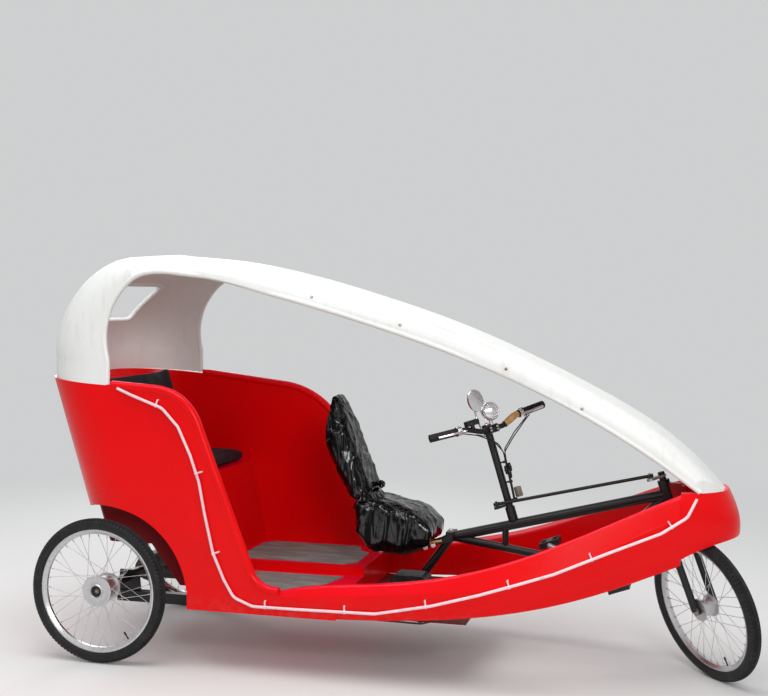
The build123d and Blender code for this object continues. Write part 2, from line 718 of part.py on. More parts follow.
def rear_wheel(side):
    """Tyre, rim and hub of one rear wheel at its place."""
    place = Pos(0, side * TRACK / 2, WHEEL_R)
    y_in, y_out = sorted((-side * REAR_HUB_IN, side * REAR_HUB_OUT))
    core = hub(REAR_HUB_R, REAR_FLANGE_R, y_in, y_out, AXLE_R + RUN_GAP)
    return place * tyre(), place * rim(), place * core


def front_wheel():
    """Tyre, rim and hub of the steered wheel, parked turned to the right."""
    place = Pos(*STRAIGHT_HUB)
    core = hub(FRONT_HUB_R, FRONT_FLANGE_R, -FRONT_HUB_HALF, FRONT_HUB_HALF, AXLE_R + RUN_GAP)
    return [turned(place * piece, STEER_AXIS) for piece in (tyre(), rim(), core)]


# Steered pieces, built straight ahead and then turned

def fork():
    """Steerer, crown, two legs, dropouts and the wheel axle."""
    crown_at = AXIS_FOOT + LEAN * (WHEEL_R + 28)
    steerer = rod(tuple(crown_at), tuple(HEAD_TOP + LEAN * 34), STEERER_R)
    collar = rod(tuple(HEAD_BOTTOM - LEAN * 12), tuple(HEAD_BOTTOM - LEAN * 1), HEAD_R)
    bridge = Pos(*crown_at) * Rot(0, -RAKE, 0) * Box(40, 128, 26)
    pieces = [steerer, collar, bridge]
    for side in (-1, 1):
        top = crown_at + Vector(0, side * 50, 0)
        foot = STRAIGHT_HUB + Vector(0, side * 50, 0)
        pieces.append(rod(tuple(top), tuple(foot), 15))
        low, high = sorted((side * 37.0, side * 50.0))
        pieces.append(Pos(*STRAIGHT_HUB) * across(0, 0, 18, low, high))
    pieces.append(Pos(*STRAIGHT_HUB) * across(0, 0, AXLE_R, -56, 56))
    return turned(fuse(pieces), STEER_AXIS)


def fork_arm():
    """Steel arm clamped on top of the steerer, pointing to the right when straight."""
    base = HEAD_TOP + LEAN * ARM_LIFT
    tip = base + heading(-90) * ARM_LENGTH
    plane = Plane(origin=base, x_dir=heading(-90), z_dir=LEAN)
    plate = extrude(plane * SlotCenterToCenter(ARM_LENGTH, 34), amount=ARM_T)
    plate = plate.moved(Location(heading(-90) * (ARM_LENGTH / 2)))
    plate = plate - rod(tuple(base - LEAN), tuple(base + LEAN * (ARM_T + 2)), STEERER_R)
    pin = rod(tuple(tip), tuple(tip + LEAN * PIN_LENGTH), PIN_R)
    return turned(plate + pin, STEER_AXIS)


def column():
    """Handlebar column with its steering arm and lower pin."""
    top = COLUMN + LEAN * ((COLUMN_TOP - COLUMN_Z) / LEAN.Z)
    tube_low = COLUMN + LEAN * (SOCKET_TOP + 1)
    post = rod(tuple(tube_low), tuple(top), COLUMN_R)
    spigot = rod(tuple(COLUMN + LEAN * 26), tuple(tube_low), COLUMN_R - 3)
    base = COLUMN + LEAN * (SOCKET_TOP + COLUMN_ARM_LIFT)
    plane = Plane(origin=base, x_dir=heading(-90), z_dir=LEAN)
    plate = extrude(plane * SlotCenterToCenter(ARM_LENGTH, 30), amount=ARM_T)
    plate = plate.moved(Location(heading(-90) * (ARM_LENGTH / 2)))
    tip = base + heading(-90) * ARM_LENGTH
    pin = rod(tuple(tip), tuple(tip + LEAN * PIN_LENGTH), PIN_R)
    return turned(post + spigot + plate + pin, COLUMN_AXIS)


def bar_point(along, out, up):
    """Point on the handlebar, straight ahead: forward, left and up from the clamp."""
    clamp = COLUMN + LEAN * ((COLUMN_TOP - COLUMN_Z) / LEAN.Z - 18)
    point = clamp + heading(0) * (STEM + along) + Vector(0, out, 0) + LEAN * up
    return tuple(point)


def handlebar():
    """Stem and bent handlebar."""
    clamp = COLUMN + LEAN * ((COLUMN_TOP - COLUMN_Z) / LEAN.Z - 18)
    ring = rod(tuple(clamp - LEAN * 20), tuple(clamp + LEAN * 20), COLUMN_R + 6)
    ring = ring - rod(tuple(clamp - LEAN * 30), tuple(clamp + LEAN * 30), COLUMN_R)
    neck = rod(tuple(clamp + heading(0) * (COLUMN_R + 3)), bar_point(0, 0, 0), 12)
    hold = rod(bar_point(0, -24, 0), bar_point(0, 24, 0), BAR_R + 7)
    points = [bar_point(-30, -BAR_HALF, 34), bar_point(0, -120, 28), bar_point(0, -52, 0),
              bar_point(0, 52, 0), bar_point(0, 120, 28), bar_point(-30, BAR_HALF, 34)]
    bar = pipe(points, [60, 50, 50, 60], BAR_R)
    return turned(ring + neck + hold + bar, COLUMN_AXIS)


def grips():
    """Two rubber grips on the bar ends."""
    pieces = []
    for side in (-1, 1):
        outer = Vector(*bar_point(-30, side * BAR_HALF, 34))
        inner = Vector(*bar_point(0, side * 120, 28))
        along = (outer - inner).normalized()
        start = outer - along * 112
        end = outer + along * 4
        pieces.append(rod(tuple(start), tuple(end), BAR_R + 5) - rod(tuple(start), tuple(outer), BAR_R))
    return turned(fuse(pieces), COLUMN_AXIS)


def brake_levers():
    """Clamps and levers ahead of the grips."""
    pieces = []
    for side in (-1, 1):
        outer = Vector(*bar_point(-30, side * BAR_HALF, 34))
        inner = Vector(*bar_point(0, side * 120, 28))
        along = (outer - inner).normalized()
        seat = outer - along * 128
        clamp = rod(tuple(seat - along * 9), tuple(seat + along * 9), BAR_R + 6)
        clamp = clamp - rod(tuple(seat - along * 20), tuple(seat + along * 20), BAR_R)
        pivot = seat + heading(0) * 30 - LEAN * 4
        neck = rod(tuple(seat + heading(0) * 13), tuple(pivot), 7)
        knee = pivot + along * 46 + heading(0) * 14
        tip = knee + along * 62 - heading(0) * 8
        pieces.append(clamp + neck + pipe([tuple(pivot), tuple(knee), tuple(tip)], [24], 5))
    return turned(fuse(pieces), COLUMN_AXIS)


def display():
    """Small control box on the bar, right of the clamp."""
    seat = Vector(*bar_point(0, -88, 15))
    lid = Plane(origin=seat + LEAN * 22, x_dir=(0, 1, 0), z_dir=LEAN)
    box = extrude(lid * RectangleRounded(58, 40, 6), amount=22)
    foot = rod(tuple(seat + LEAN * 8), tuple(seat + LEAN * 23), 9)
    return turned(box + foot, COLUMN_AXIS) - handlebar()


# Columns: radius, distance along the lamp from its back
LAMP_PROFILE = [(0, 0), (18, 0), (30, 12), (37, 36), (38, 60), (33, 60), (32, 57), (0, 57)]


def headlamp():
    """Round lamp with its stalk on the clamp, facing forward."""
    seat = Vector(*bar_point(0, 0, 0))
    middle = seat + LEAN * 74
    facing = heading(0)
    profile = Plane.XZ * make_face(Polyline(*LAMP_PROFILE, close=True))
    shell = Plane(origin=middle - facing * 30, x_dir=(0, 1, 0), z_dir=facing) * revolve(profile, Axis.Z)
    stalk = rod(tuple(seat + LEAN * 12), tuple(middle), 8)
    return turned(shell + stalk, COLUMN_AXIS) - handlebar()


def mirror():
    """Oval mirror on a bent stalk above the lamp, right of the middle."""
    foot = Vector(*bar_point(0, -50, 2))
    head = foot + LEAN * 132 + heading(0) * 10
    bend = foot + LEAN * 70 - heading(0) * 26
    stalk = pipe([tuple(foot), tuple(bend), tuple(head)], [60], 4)
    back = Plane(origin=head, x_dir=(0, 1, 0), z_dir=heading(0))
    glass = extrude(back * Ellipse(34, 46), amount=12)
    return turned(stalk + glass, COLUMN_AXIS) - handlebar()


def beside(drop, ahead, out):
    """Point near the column, straight ahead: down from the clamp, forward and left of the axis."""
    clamp = COLUMN + LEAN * ((COLUMN_TOP - COLUMN_Z) / LEAN.Z - 18)
    return tuple(clamp - LEAN * drop + heading(0) * ahead + Vector(0, out, 0))


# Control cables, straight ahead: each a radius and its points as drop, ahead, out
CABLE_TOP = (150, 34, 24)
CABLE_RUNS = [
    (5.0, [(118, 38, 26), CABLE_TOP, (240, 30, 22), (318, 22, 20)]),
    (2.4, [(-18, 84, 158), (-8, 116, 128), (36, 92, 72), (96, 44, 30), CABLE_TOP]),
    (2.4, [(-14, 86, 166), (6, 108, 120), (60, 84, 60), (108, 46, 26), CABLE_TOP]),
    (2.4, [(-18, 84, -158), (4, 120, -112), (48, 96, -36), (104, 46, 18), CABLE_TOP]),
    (2.4, [(4, 52, -84), (22, 74, -52), (70, 62, 0), (112, 40, 22), CABLE_TOP]),
]
CABLE_TIES = [150, 236, 312]


def control_cables():
    """Cables from the levers and the display, tied to the column in one bundle."""
    pieces = []
    for radius, run in CABLE_RUNS:
        pieces.append(pipe([beside(*place) for place in run], 22, radius))
    for drop in CABLE_TIES:
        hold = Vector(*beside(drop, 30, 22))
        axis = Vector(*beside(drop, 0, 0))
        pieces.append(rod(tuple(hold + LEAN * 5), tuple(hold - LEAN * 5), 9))
        pieces.append(rod(tuple(axis), tuple(hold), 3.5))
    column_space = rod(beside(-20, 0, 0), beside(400, 0, 0), COLUMN_R + SEAT_GAP)
    return turned(fuse(pieces) - column_space, COLUMN_AXIS) - handlebar()


# Route of the rope light on the right side: x and z
ROPE_ROUTE = [(101, 1168), (163, 1142), (302, 1091), (373, 1015), (425, 900), (462, 790), (486, 654), (520, 497),
              (567, 387), (608, 318), (690, 286), (897, 288), (1210, 293), (1438, 340), (1625, 392), (1766, 436),
              (1907, 480), (2108, 562), (2308, 638), (2405, 700), (2440, 770)]
ROPE_R = 6.0
ROPE_SPACE = 4.0
ROPE_BEND = 50
CLIPS = 9
CLIP_LUG = 24


def near_skin(skin, x, z):
    """Y of the right side's outer surface at a place seen from the side."""
    hits = skin.find_intersection_points(Axis((x, -800, z), (0, 1, 0)))
    return min(hit[0].Y for hit in hits)


def rope_path(skin):
    """Middle line of the rope light, laid on the surface."""
    places = [(x, near_skin(skin, x, z) - ROPE_SPACE - ROPE_R, z) for x, z in ROPE_ROUTE]
    return FilletPolyline(*places, radius=ROPE_BEND)


def rope_light(path):
    """Light rope along the right side from the hood's foot to the nose."""
    return sweep(Plane(origin=path @ 0, z_dir=path % 0) * Circle(ROPE_R), path=path)


def rope_clips(path, skin):
    """Screwed clips of the rope light: a ring round the rope, a lug and its foot on the surface."""
    pieces = []
    for i in range(CLIPS):
        share = (i + 0.55) / CLIPS
        middle = path @ share
        along = path % share
        up = along.cross(Vector(0, 1, 0)).normalized()
        ring = sleeve(tuple(middle - along * 4), tuple(middle + along * 4), ROPE_R + 1.6, ROPE_R + SEAT_GAP)
        tip = middle + up * CLIP_LUG
        lug = rod(tuple(middle + up * (ROPE_R + 1)), tuple(tip), 3.5)
        foot = rod(tuple(tip), (tip.X, near_skin(skin, tip.X, tip.Z) - SEAT_GAP, tip.Z), 3.5)
        pieces.append(ring + lug + foot)
    return fuse(pieces) - skin


def tie_rod():
    """Rod from the column arm to the fork arm, with an eye at each end."""
    rear = COLUMN + LEAN * (SOCKET_TOP + COLUMN_ARM_LIFT + EYE_LIFT) + ARM_REST
    front = HEAD_TOP + LEAN * (ARM_LIFT + EYE_LIFT) + ARM_REST
    along = (front - rear).normalized()
    whole = rod(tuple(rear + along * (EYE_R - 3)), tuple(front - along * (EYE_R - 3)), ROD_R)
    for eye in (rear, front):
        whole = whole + rod(tuple(eye - LEAN * EYE_HALF), tuple(eye + LEAN * EYE_HALF), EYE_R)
    for eye, play in ((rear, RUN_GAP), (front, OPEN_PLAY)):
        whole = whole - rod(tuple(eye - LEAN * 20), tuple(eye + LEAN * 20), PIN_R + play)
    return whole


def build():
    """Every sub-part at its place, by node name."""
    inner = tub_solid(WALL)
    shell = cab_shell(inner)
    right_arm = side_arm(-1, RIGHT_SILL_X)
    left_arm = side_arm(1, LEFT_SILL_X)
    floor = floor_pan(shell, right_arm, left_arm)
    bench = bench_moulding(inner, floor)
    bow = nose()
    right_side = shell + right_arm + bow
    route = rope_path(right_side)
    frame = frame_tubes()
    crank, tip, toe = crankset()
    parts = {
        "cab_shell": shell,
        "bench_moulding": bench,
        "wheel_boxes": wheel_boxes(inner, floor, bench),
        "floor_pan": floor,
        "side_arm_right": right_arm,
        "side_arm_left": left_arm,
        "nose": bow,
        "hood_rear": hood_rear(),
        "hood_spine": hood_spine(),
        "seat_cushion": seat_cushion(),
        "back_cushion": back_cushion(),
        "floor_mats": floor_mats(),
        "belly_pan": belly_pan(),
        "battery_box": battery_box(),
        "rope_light": rope_light(route),
        "rope_clips": rope_clips(route, right_side),
        "seat_bracket": seat_bracket(frame),
        "driver_seat_base": driver_seat_base(),
        "driver_seat_back": driver_seat_back(),
        "frame_tubes": frame,
        "head_tube": head_tube(),
        "bottom_bracket": bottom_bracket(),
        "column_socket": column_socket(frame),
        "nose_bracket": nose_bracket(),
        "chassis": chassis(frame),
        "rear_axle": rear_axle(),
        "chain": chain(),
        "chain_idlers": chain_idlers(),
        "crankset": crank,
        "pedals": pedals(tip, toe),
        "fork": fork(),
        "fork_arm": fork_arm(),
        "column": column(),
        "handlebar": handlebar(),
        "grips": grips(),
        "brake_levers": brake_levers(),
        "display": display(),
        "control_cables": control_cables(),
        "headlamp": headlamp(),
        "mirror": mirror(),
        "tie_rod": tie_rod(),
    }
    for name, side in (("right", -1), ("left", 1)):
        rubber, ring, core = rear_wheel(side)
        parts[f"rear_tyre_{name}"] = rubber
        parts[f"rear_rim_{name}"] = ring
        parts[f"rear_hub_{name}"] = core
    rubber, ring, core = front_wheel()
    parts["front_tyre"] = rubber
    parts["front_rim"] = ring
    parts["front_hub"] = core
    return parts


def middle_x():
    """Middle of the overall length, from the rearmost and foremost points."""
    axle = Vector(0, 1, 0).rotate(STEER_AXIS, STEER_REST)
    reach = (WHEEL_R - TYRE_R) * (1 - axle.X ** 2) ** 0.5 + TYRE_R
    return (BACK_X + WHEELBASE + reach) / 2


if __name__ == "__main__":
    os.makedirs("parts", exist_ok=True)
    shift = Pos(-middle_x(), 0, 0)
    for node, shape in build().items():
        export_step(shift * shape, f"parts/{node}.step")
        print(node, round(shape.volume / 1000), "cm3")
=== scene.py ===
import logging
from collections.abc import Sequence
from dataclasses import dataclass, field
from enum import Enum
from itertools import product
from math import cos, pi, radians, sin

import bmesh
import bpy
import numpy as np
from mathutils import Matrix, Vector
from mathutils.bvhtree import BVHTree
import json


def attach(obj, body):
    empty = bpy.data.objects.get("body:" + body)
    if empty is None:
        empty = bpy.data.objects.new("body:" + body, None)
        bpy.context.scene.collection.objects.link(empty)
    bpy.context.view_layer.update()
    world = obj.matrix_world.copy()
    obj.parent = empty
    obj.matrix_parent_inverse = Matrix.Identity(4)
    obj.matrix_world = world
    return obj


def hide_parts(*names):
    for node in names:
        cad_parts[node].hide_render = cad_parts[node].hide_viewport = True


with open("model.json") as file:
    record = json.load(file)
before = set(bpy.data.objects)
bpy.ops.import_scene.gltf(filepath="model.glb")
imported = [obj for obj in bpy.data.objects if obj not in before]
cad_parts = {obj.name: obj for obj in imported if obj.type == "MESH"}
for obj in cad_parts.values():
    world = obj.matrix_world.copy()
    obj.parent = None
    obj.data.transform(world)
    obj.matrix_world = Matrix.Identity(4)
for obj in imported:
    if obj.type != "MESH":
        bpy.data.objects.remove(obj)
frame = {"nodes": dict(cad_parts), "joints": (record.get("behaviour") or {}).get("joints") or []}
log = logging.getLogger("cycle_rickshaw")

# Cycle rickshaw. Meshes are in metres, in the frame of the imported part: X forward, Y to the vehicle's
# left, Z up, origin on the ground under the middle of its length. Sizes in metres.
JOINTS = {joint["name"]: joint for joint in frame["joints"]}
AXLE_X = JOINTS["rear_wheel_left_spin"]["pos_m"][0]
WHEEL_R = 0.3075
TYRE_R = 0.027
RIM_R = WHEEL_R - 0.046
RAKE = radians(16.6)
STEER_REST = radians(-52.0)

# Drawing sizes in millimetres, from the rear axle
COLUMN = (1690.0, 0.0, 606.0)
COLUMN_TOP = 1010.0
STEM = 48.0
BAR_R = 11.1
BAR_HALF = 275.0
BAR_RISE = 34.0
FLOOR_LOW = 335.0
FLOOR_HIGH = 372.0
MAT_T = 4.0

Colour = tuple[float, float, float]
Point = tuple[float, float, float]
Pair = tuple[float, float]
Line = Sequence[Pair]
Socket = bpy.types.NodeSocket


class Shade(Enum):
    """Colours of the vehicle's parts."""

    BODY = (0.80, 0.0006, 0.002)
    # Painted highlight: the brighter, pinker red given to the red body's upward faces
    BODY_PAINTED_HIGHLIGHT = (0.88, 0.002, 0.035)
    # Painted shade: dark red standing in for the shade inside the wheel boxes and on the belly pan under the
    # floor
    SHADED_RED = (0.15, 0.002, 0.004)
    HOOD = (0.80, 0.80, 0.77)
    # Grey-brown of the hood's grime streaks, also used as painted shade on its downward faces
    HOOD_GRIME_AND_SHADE = (0.48, 0.44, 0.36)
    HOOD_STAIN = (0.62, 0.50, 0.16)
    HOOD_SPECK = (0.24, 0.22, 0.19)
    CLOTH = (0.006, 0.0065, 0.010)
    CLOTH_WORN = (0.016, 0.018, 0.026)
    LINT = (0.30, 0.29, 0.28)
    FILM = (0.003, 0.003, 0.0035)
    MAT = (0.17, 0.17, 0.165)
    MAT_DUST = (0.34, 0.32, 0.29)
    MAT_GRIT = (0.05, 0.05, 0.05)
    ENAMEL = (0.006, 0.006, 0.007)
    RED_ENAMEL = (0.36, 0.008, 0.012)
    PRIMER = (0.19, 0.17, 0.16)
    RUBBER = (0.009, 0.009, 0.010)
    DUST = (0.20, 0.18, 0.155)
    ALLOY = (0.62, 0.62, 0.63)
    STEEL = (0.48, 0.47, 0.46)
    OILED = (0.10, 0.09, 0.08)
    CHROME = (0.78, 0.78, 0.80)
    RUST = (0.24, 0.085, 0.03)
    TUBE_LIGHT = (0.86, 0.62, 0.66)
    TUBE_LAMP = (0.70, 0.36, 0.38)
    CORK = (0.50, 0.27, 0.09)
    CORK_PALE = (0.70, 0.46, 0.20)
    CORK_FLECK = (0.16, 0.07, 0.02)
    HOUSING = (0.20, 0.17, 0.13)
    SCREEN = (0.02, 0.03, 0.03)
    LENS = (0.85, 0.87, 0.90)
    LENS_FILM = (0.42, 0.42, 0.40)


class Graph:
    """Wires one node material around a principled shader."""

    def __init__(self, name: str) -> None:
        """Start a material of a name, with a bare shader.

        Args:
            name: The material's name.
        """
        self.material = bpy.data.materials.new(name)
        self.material.use_nodes = True
        self.tree = self.material.node_tree
        self.tree.nodes.clear()
        self.shader = self.node("BsdfPrincipled")
        self.output = self.node("OutputMaterial", Surface=self.shader.outputs["BSDF"])
        self.place = self.node("TexCoord").outputs["Object"]

    def node(self, kind: str, **inputs: object) -> bpy.types.Node:
        """New node with its inputs fed.

        Args:
            kind: The node's type, without its first word ShaderNode.
            inputs: Sockets or values by the input's name, with underscores for spaces.

        Returns:
            The node.
        """
        node = self.tree.nodes.new("ShaderNode" + kind)
        for name, value in inputs.items():
            self.feed(node.inputs[name.replace("_", " ")], value)
        return node

    def feed(self, target: Socket, value: object) -> None:
        """Link a socket to an input, or set the input's own value.

        Args:
            target: The input.
            value: A socket, a number or a colour of three numbers.
        """
        if isinstance(value, Socket):
            self.tree.links.new(value, target)
        elif isinstance(value, tuple) and target.type == "RGBA":
            target.default_value = (*value, 1.0)
        else:
            target.default_value = value

    def set(self, **values: object) -> None:
        """Feed the shader's inputs; underscores in a name stand for spaces."""
        for name, value in values.items():
            self.feed(self.shader.inputs[name.replace("_", " ")], value)

    def stretched(self, scale: Point, turn: Point = (0.0, 0.0, 0.0)) -> Socket:
        """Object coordinates scaled along each axis, after a turn in radians."""
        return self.node("Mapping", Vector=self.place, Rotation=turn, Scale=scale).outputs["Vector"]

    def noise(self, scale: float, detail: float = 4.0, rough: float = 0.55, warp: float = 0.0,
              at: Socket | None = None) -> Socket:
        """Fractal noise.

        Args:
            scale: Repeats per metre.
            detail: Octaves.
            rough: Weight of the finer octaves.
            warp: Distortion.
            at: Coordinates, or None for the object's own.

        Returns:
            The noise value's socket.
        """
        return self.node("TexNoise", Vector=at or self.place, Scale=scale, Detail=detail, Roughness=rough,
                         Distortion=warp).outputs["Fac"]

    def bands(self, scale: float, axis: str, at: Socket | None = None) -> Socket:
        """Even sine bands.

        Args:
            scale: Repeats per metre.
            axis: X, Y, Z or DIAGONAL, which the bands cross.
            at: Coordinates, or None for the object's own.

        Returns:
            The bands' socket.
        """
        node = self.node("TexWave", Vector=at or self.place, Scale=scale)
        node.bands_direction = axis
        return node.outputs["Fac"]

    def ramp(self, source: Socket, low: float, high: float) -> Socket:
        """Value brought from the span low to high onto 0 to 1, smoothly.

        Args:
            source: The value.
            low: What becomes 0.
            high: What becomes 1; it may lie below low.

        Returns:
            The new value's socket.
        """
        node = self.node("MapRange", Value=source, From_Min=low, From_Max=high)
        node.interpolation_type = "SMOOTHSTEP"
        return node.outputs["Result"]

    def span(self, source: Socket, low: float, high: float) -> Socket:
        """Value from 0 to 1 spread between low and high."""
        return self.node("MapRange", Value=source, To_Min=low, To_Max=high).outputs["Result"]

    def math(self, kind: str, a: object, b: object = 0.0) -> Socket:
        """Arithmetic on two values.

        Args:
            kind: The operation.
            a: First socket or number.
            b: Second socket or number.

        Returns:
            The result's socket.
        """
        node = self.node("Math")
        node.operation = kind
        self.feed(node.inputs[0], a)
        self.feed(node.inputs[1], b)
        return node.outputs["Value"]

    def times(self, a: object, b: object) -> Socket:
        """Product of two values."""
        return self.math("MULTIPLY", a, b)

    def spots(self, source: Socket, low: float, high: float, amount: float) -> Socket:
        """Patches where a value rises from low to high, up to an amount."""
        return self.times(self.ramp(source, low, high), amount)

    def ridge(self, source: Socket) -> Socket:
        """Sharp folds: a noise's distance from its middle."""
        return self.math("ABSOLUTE", self.math("SUBTRACT", source, 0.5))

    def mix(self, share: object, a: object, b: object) -> Socket:
        """Colour between two.

        Args:
            share: How much of the second, 0 to 1.
            a: First socket or colour.
            b: Second socket, colour or shade.

        Returns:
            The colour's socket.
        """
        node = self.node("Mix")
        node.data_type = "RGBA"
        for slot, value in ((0, share), (6, a), (7, b)):
            self.feed(node.inputs[slot], value.value if isinstance(value, Shade) else value)
        return node.outputs[2]

    def axis(self, name: str, at: Socket | None = None) -> Socket:
        """One coordinate, X, Y or Z, in metres."""
        return self.node("SeparateXYZ", Vector=at or self.place).outputs[name]

    def upward(self) -> Socket:
        """How far a surface faces up, from -1 to 1."""
        return self.axis("Z", self.node("NewGeometry").outputs["Normal"])

    def near(self, point: Point, radius: float) -> Socket:
        """1 at a point, falling to 0 at a radius round it.

        Args:
            point: The point.
            radius: The radius in metres.

        Returns:
            The value's socket.
        """
        node = self.node("VectorMath")
        node.operation = "DISTANCE"
        self.feed(node.inputs[0], self.place)
        self.feed(node.inputs[1], point)
        return self.ramp(node.outputs["Value"], radius, 0.0)

    def relief(self, height: Socket, depth: float, strength: float = 1.0,
               over: Socket | None = None) -> Socket:
        """Bumped normal.

        Args:
            height: The relief, from 0 to 1.
            depth: Its depth in metres.
            strength: How strongly it shows.
            over: A normal that it is added to.

        Returns:
            The normal's socket.
        """
        node = self.node("Bump", Strength=strength, Distance=depth, Height=height)
        if over is not None:
            self.feed(node.inputs["Normal"], over)
        return node.outputs["Normal"]


@dataclass(frozen=True)
class Finish:
    """A named surface finish."""

    name: str
    shade: Shade

    @property
    def colour(self) -> Colour:
        """Main colour."""
        return self.shade.value

    def darker(self, share: float) -> Colour:
        """Main colour at a share of its strength."""
        return tuple(share * c for c in self.colour)

    def make(self) -> bpy.types.Material:
        """Build the node material."""
        raise NotImplementedError


@dataclass(frozen=True)
class Moulding(Finish):
    """Glossy through-coloured plastic: slow waves in the gloss, road dust low down, and a painted highlight
    that mixes upward faces toward a brighter, pinker red.
    """

    painted_highlight: Shade = Shade.BODY_PAINTED_HIGHLIGHT
    dust_top: float = 0.36
    dust_full: float = 0.20
    rough: float = 0.16

    def make(self) -> bpy.types.Material:
        """Build the node material."""
        g = Graph(self.name)
        # Painted highlight: faces turned upward are mixed toward a brighter, pinker red, as if they caught
        # the sky
        colour = g.mix(g.spots(g.upward(), 0.25, 0.95, 0.75), self.colour, self.painted_highlight)
        colour = g.mix(g.spots(g.noise(2.2, 3.0), 0.35, 0.75, 0.18), colour, self.darker(0.62))
        low = g.ramp(g.axis("Z"), self.dust_top, self.dust_full)
        colour = g.mix(g.times(low, g.spots(g.noise(38.0, 6.0), 0.42, 0.72, 0.22)), colour, Shade.DUST)
        scuff = g.noise(9.0, 5.0, 0.6, at=g.stretched((1.0, 3.0, 6.0)))
        g.set(Base_Color=colour, Specular_IOR_Level=0.17,
              Roughness=g.span(scuff, self.rough, self.rough + 0.16),
              Normal=g.relief(g.noise(3.2, 2.0), 0.004, 0.22, g.relief(g.noise(900.0, 1.0), 0.00003, 0.25)))
        return g.material


@dataclass(frozen=True)
class WhiteMoulding(Finish):
    """Satin white moulding with grime in streaks, painted shade on faces turned downward, fine specks and one
    old yellow stain.
    """

    stain_at: Point = (0.72, -0.21, 1.31)
    stain_radius: float = 0.05

    def make(self) -> bpy.types.Material:
        """Build the node material."""
        g = Graph(self.name)
        streaks = g.noise(5.0, 6.0, 0.65, at=g.stretched((6.0, 6.0, 1.0)))
        # Grime in vertical streaks, plus painted shade: faces turned downward are darkened toward the same
        # grey-brown
        grime_and_underside_shade = g.math("MAXIMUM", g.spots(streaks, 0.50, 0.80, 0.32), g.spots(g.upward(), 0.1, -0.9, 0.30))
        colour = g.mix(grime_and_underside_shade, self.colour, Shade.HOOD_GRIME_AND_SHADE)
        colour = g.mix(g.spots(g.noise(240.0, 2.0), 0.71, 0.78, 0.5), colour, Shade.HOOD_SPECK)
        stain = g.times(g.near(self.stain_at, self.stain_radius), g.ramp(g.noise(60.0, 3.0), 0.4, 0.6))
        colour = g.mix(stain, colour, Shade.HOOD_STAIN)
        g.set(Base_Color=colour, Roughness=g.span(g.noise(14.0, 4.0), 0.30, 0.52), IOR=1.45,
              Normal=g.relief(g.noise(4.0, 2.0), 0.006, 0.25, g.relief(g.noise(520.0, 2.0), 0.00006, 0.35)))
        return g.material


@dataclass(frozen=True)
class Upholstery(Finish):
    """Woven cloth: crossing threads, lint and a soft sheen."""

    threads: float = 420.0

    def make(self) -> bpy.types.Material:
        """Build the node material."""
        g = Graph(self.name)
        warp = g.bands(self.threads, "DIAGONAL", g.stretched((1.0, 1.0, 1.0), (0.0, 0.0, 0.4)))
        weft = g.bands(self.threads, "DIAGONAL", g.stretched((1.0, -1.0, 1.0), (0.5, 0.0, 0.4)))
        worn = g.ramp(g.noise(6.0, 5.0), 0.45, 0.75)
        colour = g.mix(g.times(worn, 0.45), self.colour, Shade.CLOTH_WORN)
        colour = g.mix(g.spots(g.noise(330.0, 1.0), 0.75, 0.79, 0.2), colour, Shade.LINT)
        slack = g.relief(g.noise(22.0, 3.0), 0.002, 0.35)
        g.set(Base_Color=colour, Roughness=g.span(worn, 0.72, 0.50), Sheen_Weight=0.03, Sheen_Roughness=0.4,
              Specular_IOR_Level=0.25, Normal=g.relief(g.math("MAXIMUM", warp, weft), 0.0004, 0.5, slack))
        return g.material


@dataclass(frozen=True)
class Film(Finish):
    """Thin glossy sheet, crinkled in long sharp folds whose crests shine."""

    fold: float = 26.0

    def make(self) -> bpy.types.Material:
        """Build the node material."""
        g = Graph(self.name)
        long = g.stretched((1.0, 1.0, 0.2), (0.25, 0.15, 0.3))
        ridge = g.ridge(g.noise(self.fold, 3.5, 0.55, 1.3, long))
        fine = g.ridge(g.noise(self.fold * 3.1, 4.0, 0.6, 0.8))
        g.set(Base_Color=g.mix(g.spots(g.noise(12.0, 5.0), 0.6, 0.9, 0.02), self.colour, Shade.DUST),
              Roughness=g.span(g.noise(30.0, 4.0), 0.07, 0.15),
              Specular_IOR_Level=g.span(g.ramp(ridge, 0.0, 0.09), 0.7, 0.07),
              Normal=g.relief(ridge, 0.005, 0.34, g.relief(fine, 0.0012, 0.12)))
        return g.material


@dataclass(frozen=True)
class Rubber(Finish):
    """Matt rubber with road dust and fine grain."""

    dust: float = 0.35
    rough: float = 0.72

    def make(self) -> bpy.types.Material:
        """Build the node material."""
        g = Graph(self.name)
        dusty = g.spots(g.noise(26.0, 6.0, 0.65), 0.42, 0.78, self.dust)
        g.set(Base_Color=g.mix(dusty, self.colour, Shade.DUST), Specular_IOR_Level=0.3,
              Roughness=g.span(g.noise(50.0, 3.0), self.rough - 0.12, self.rough + 0.12),
              Normal=g.relief(g.noise(700.0, 3.0), 0.0002, 0.4))
        return g.material


@dataclass(frozen=True)
class GripMat(Finish):
    """Grey grip mat: worn, dusty, with scraped streaks along the way people step."""

    def make(self) -> bpy.types.Material:
        """Build the node material."""
        g = Graph(self.name)
        smear = g.noise(7.0, 6.0, 0.62, 0.6, g.stretched((1.0, 4.0, 1.0), (0.0, 0.0, 0.25)))
        colour = g.mix(g.spots(smear, 0.38, 0.70, 0.75), self.colour, Shade.MAT_DUST)
        colour = g.mix(g.spots(g.noise(260.0, 3.0), 0.52, 0.66, 0.45), colour, Shade.MAT_GRIT)
        g.set(Base_Color=colour, Roughness=g.span(smear, 0.62, 0.92),
              Normal=g.relief(g.noise(420.0, 3.0), 0.0006, 0.7))
        return g.material


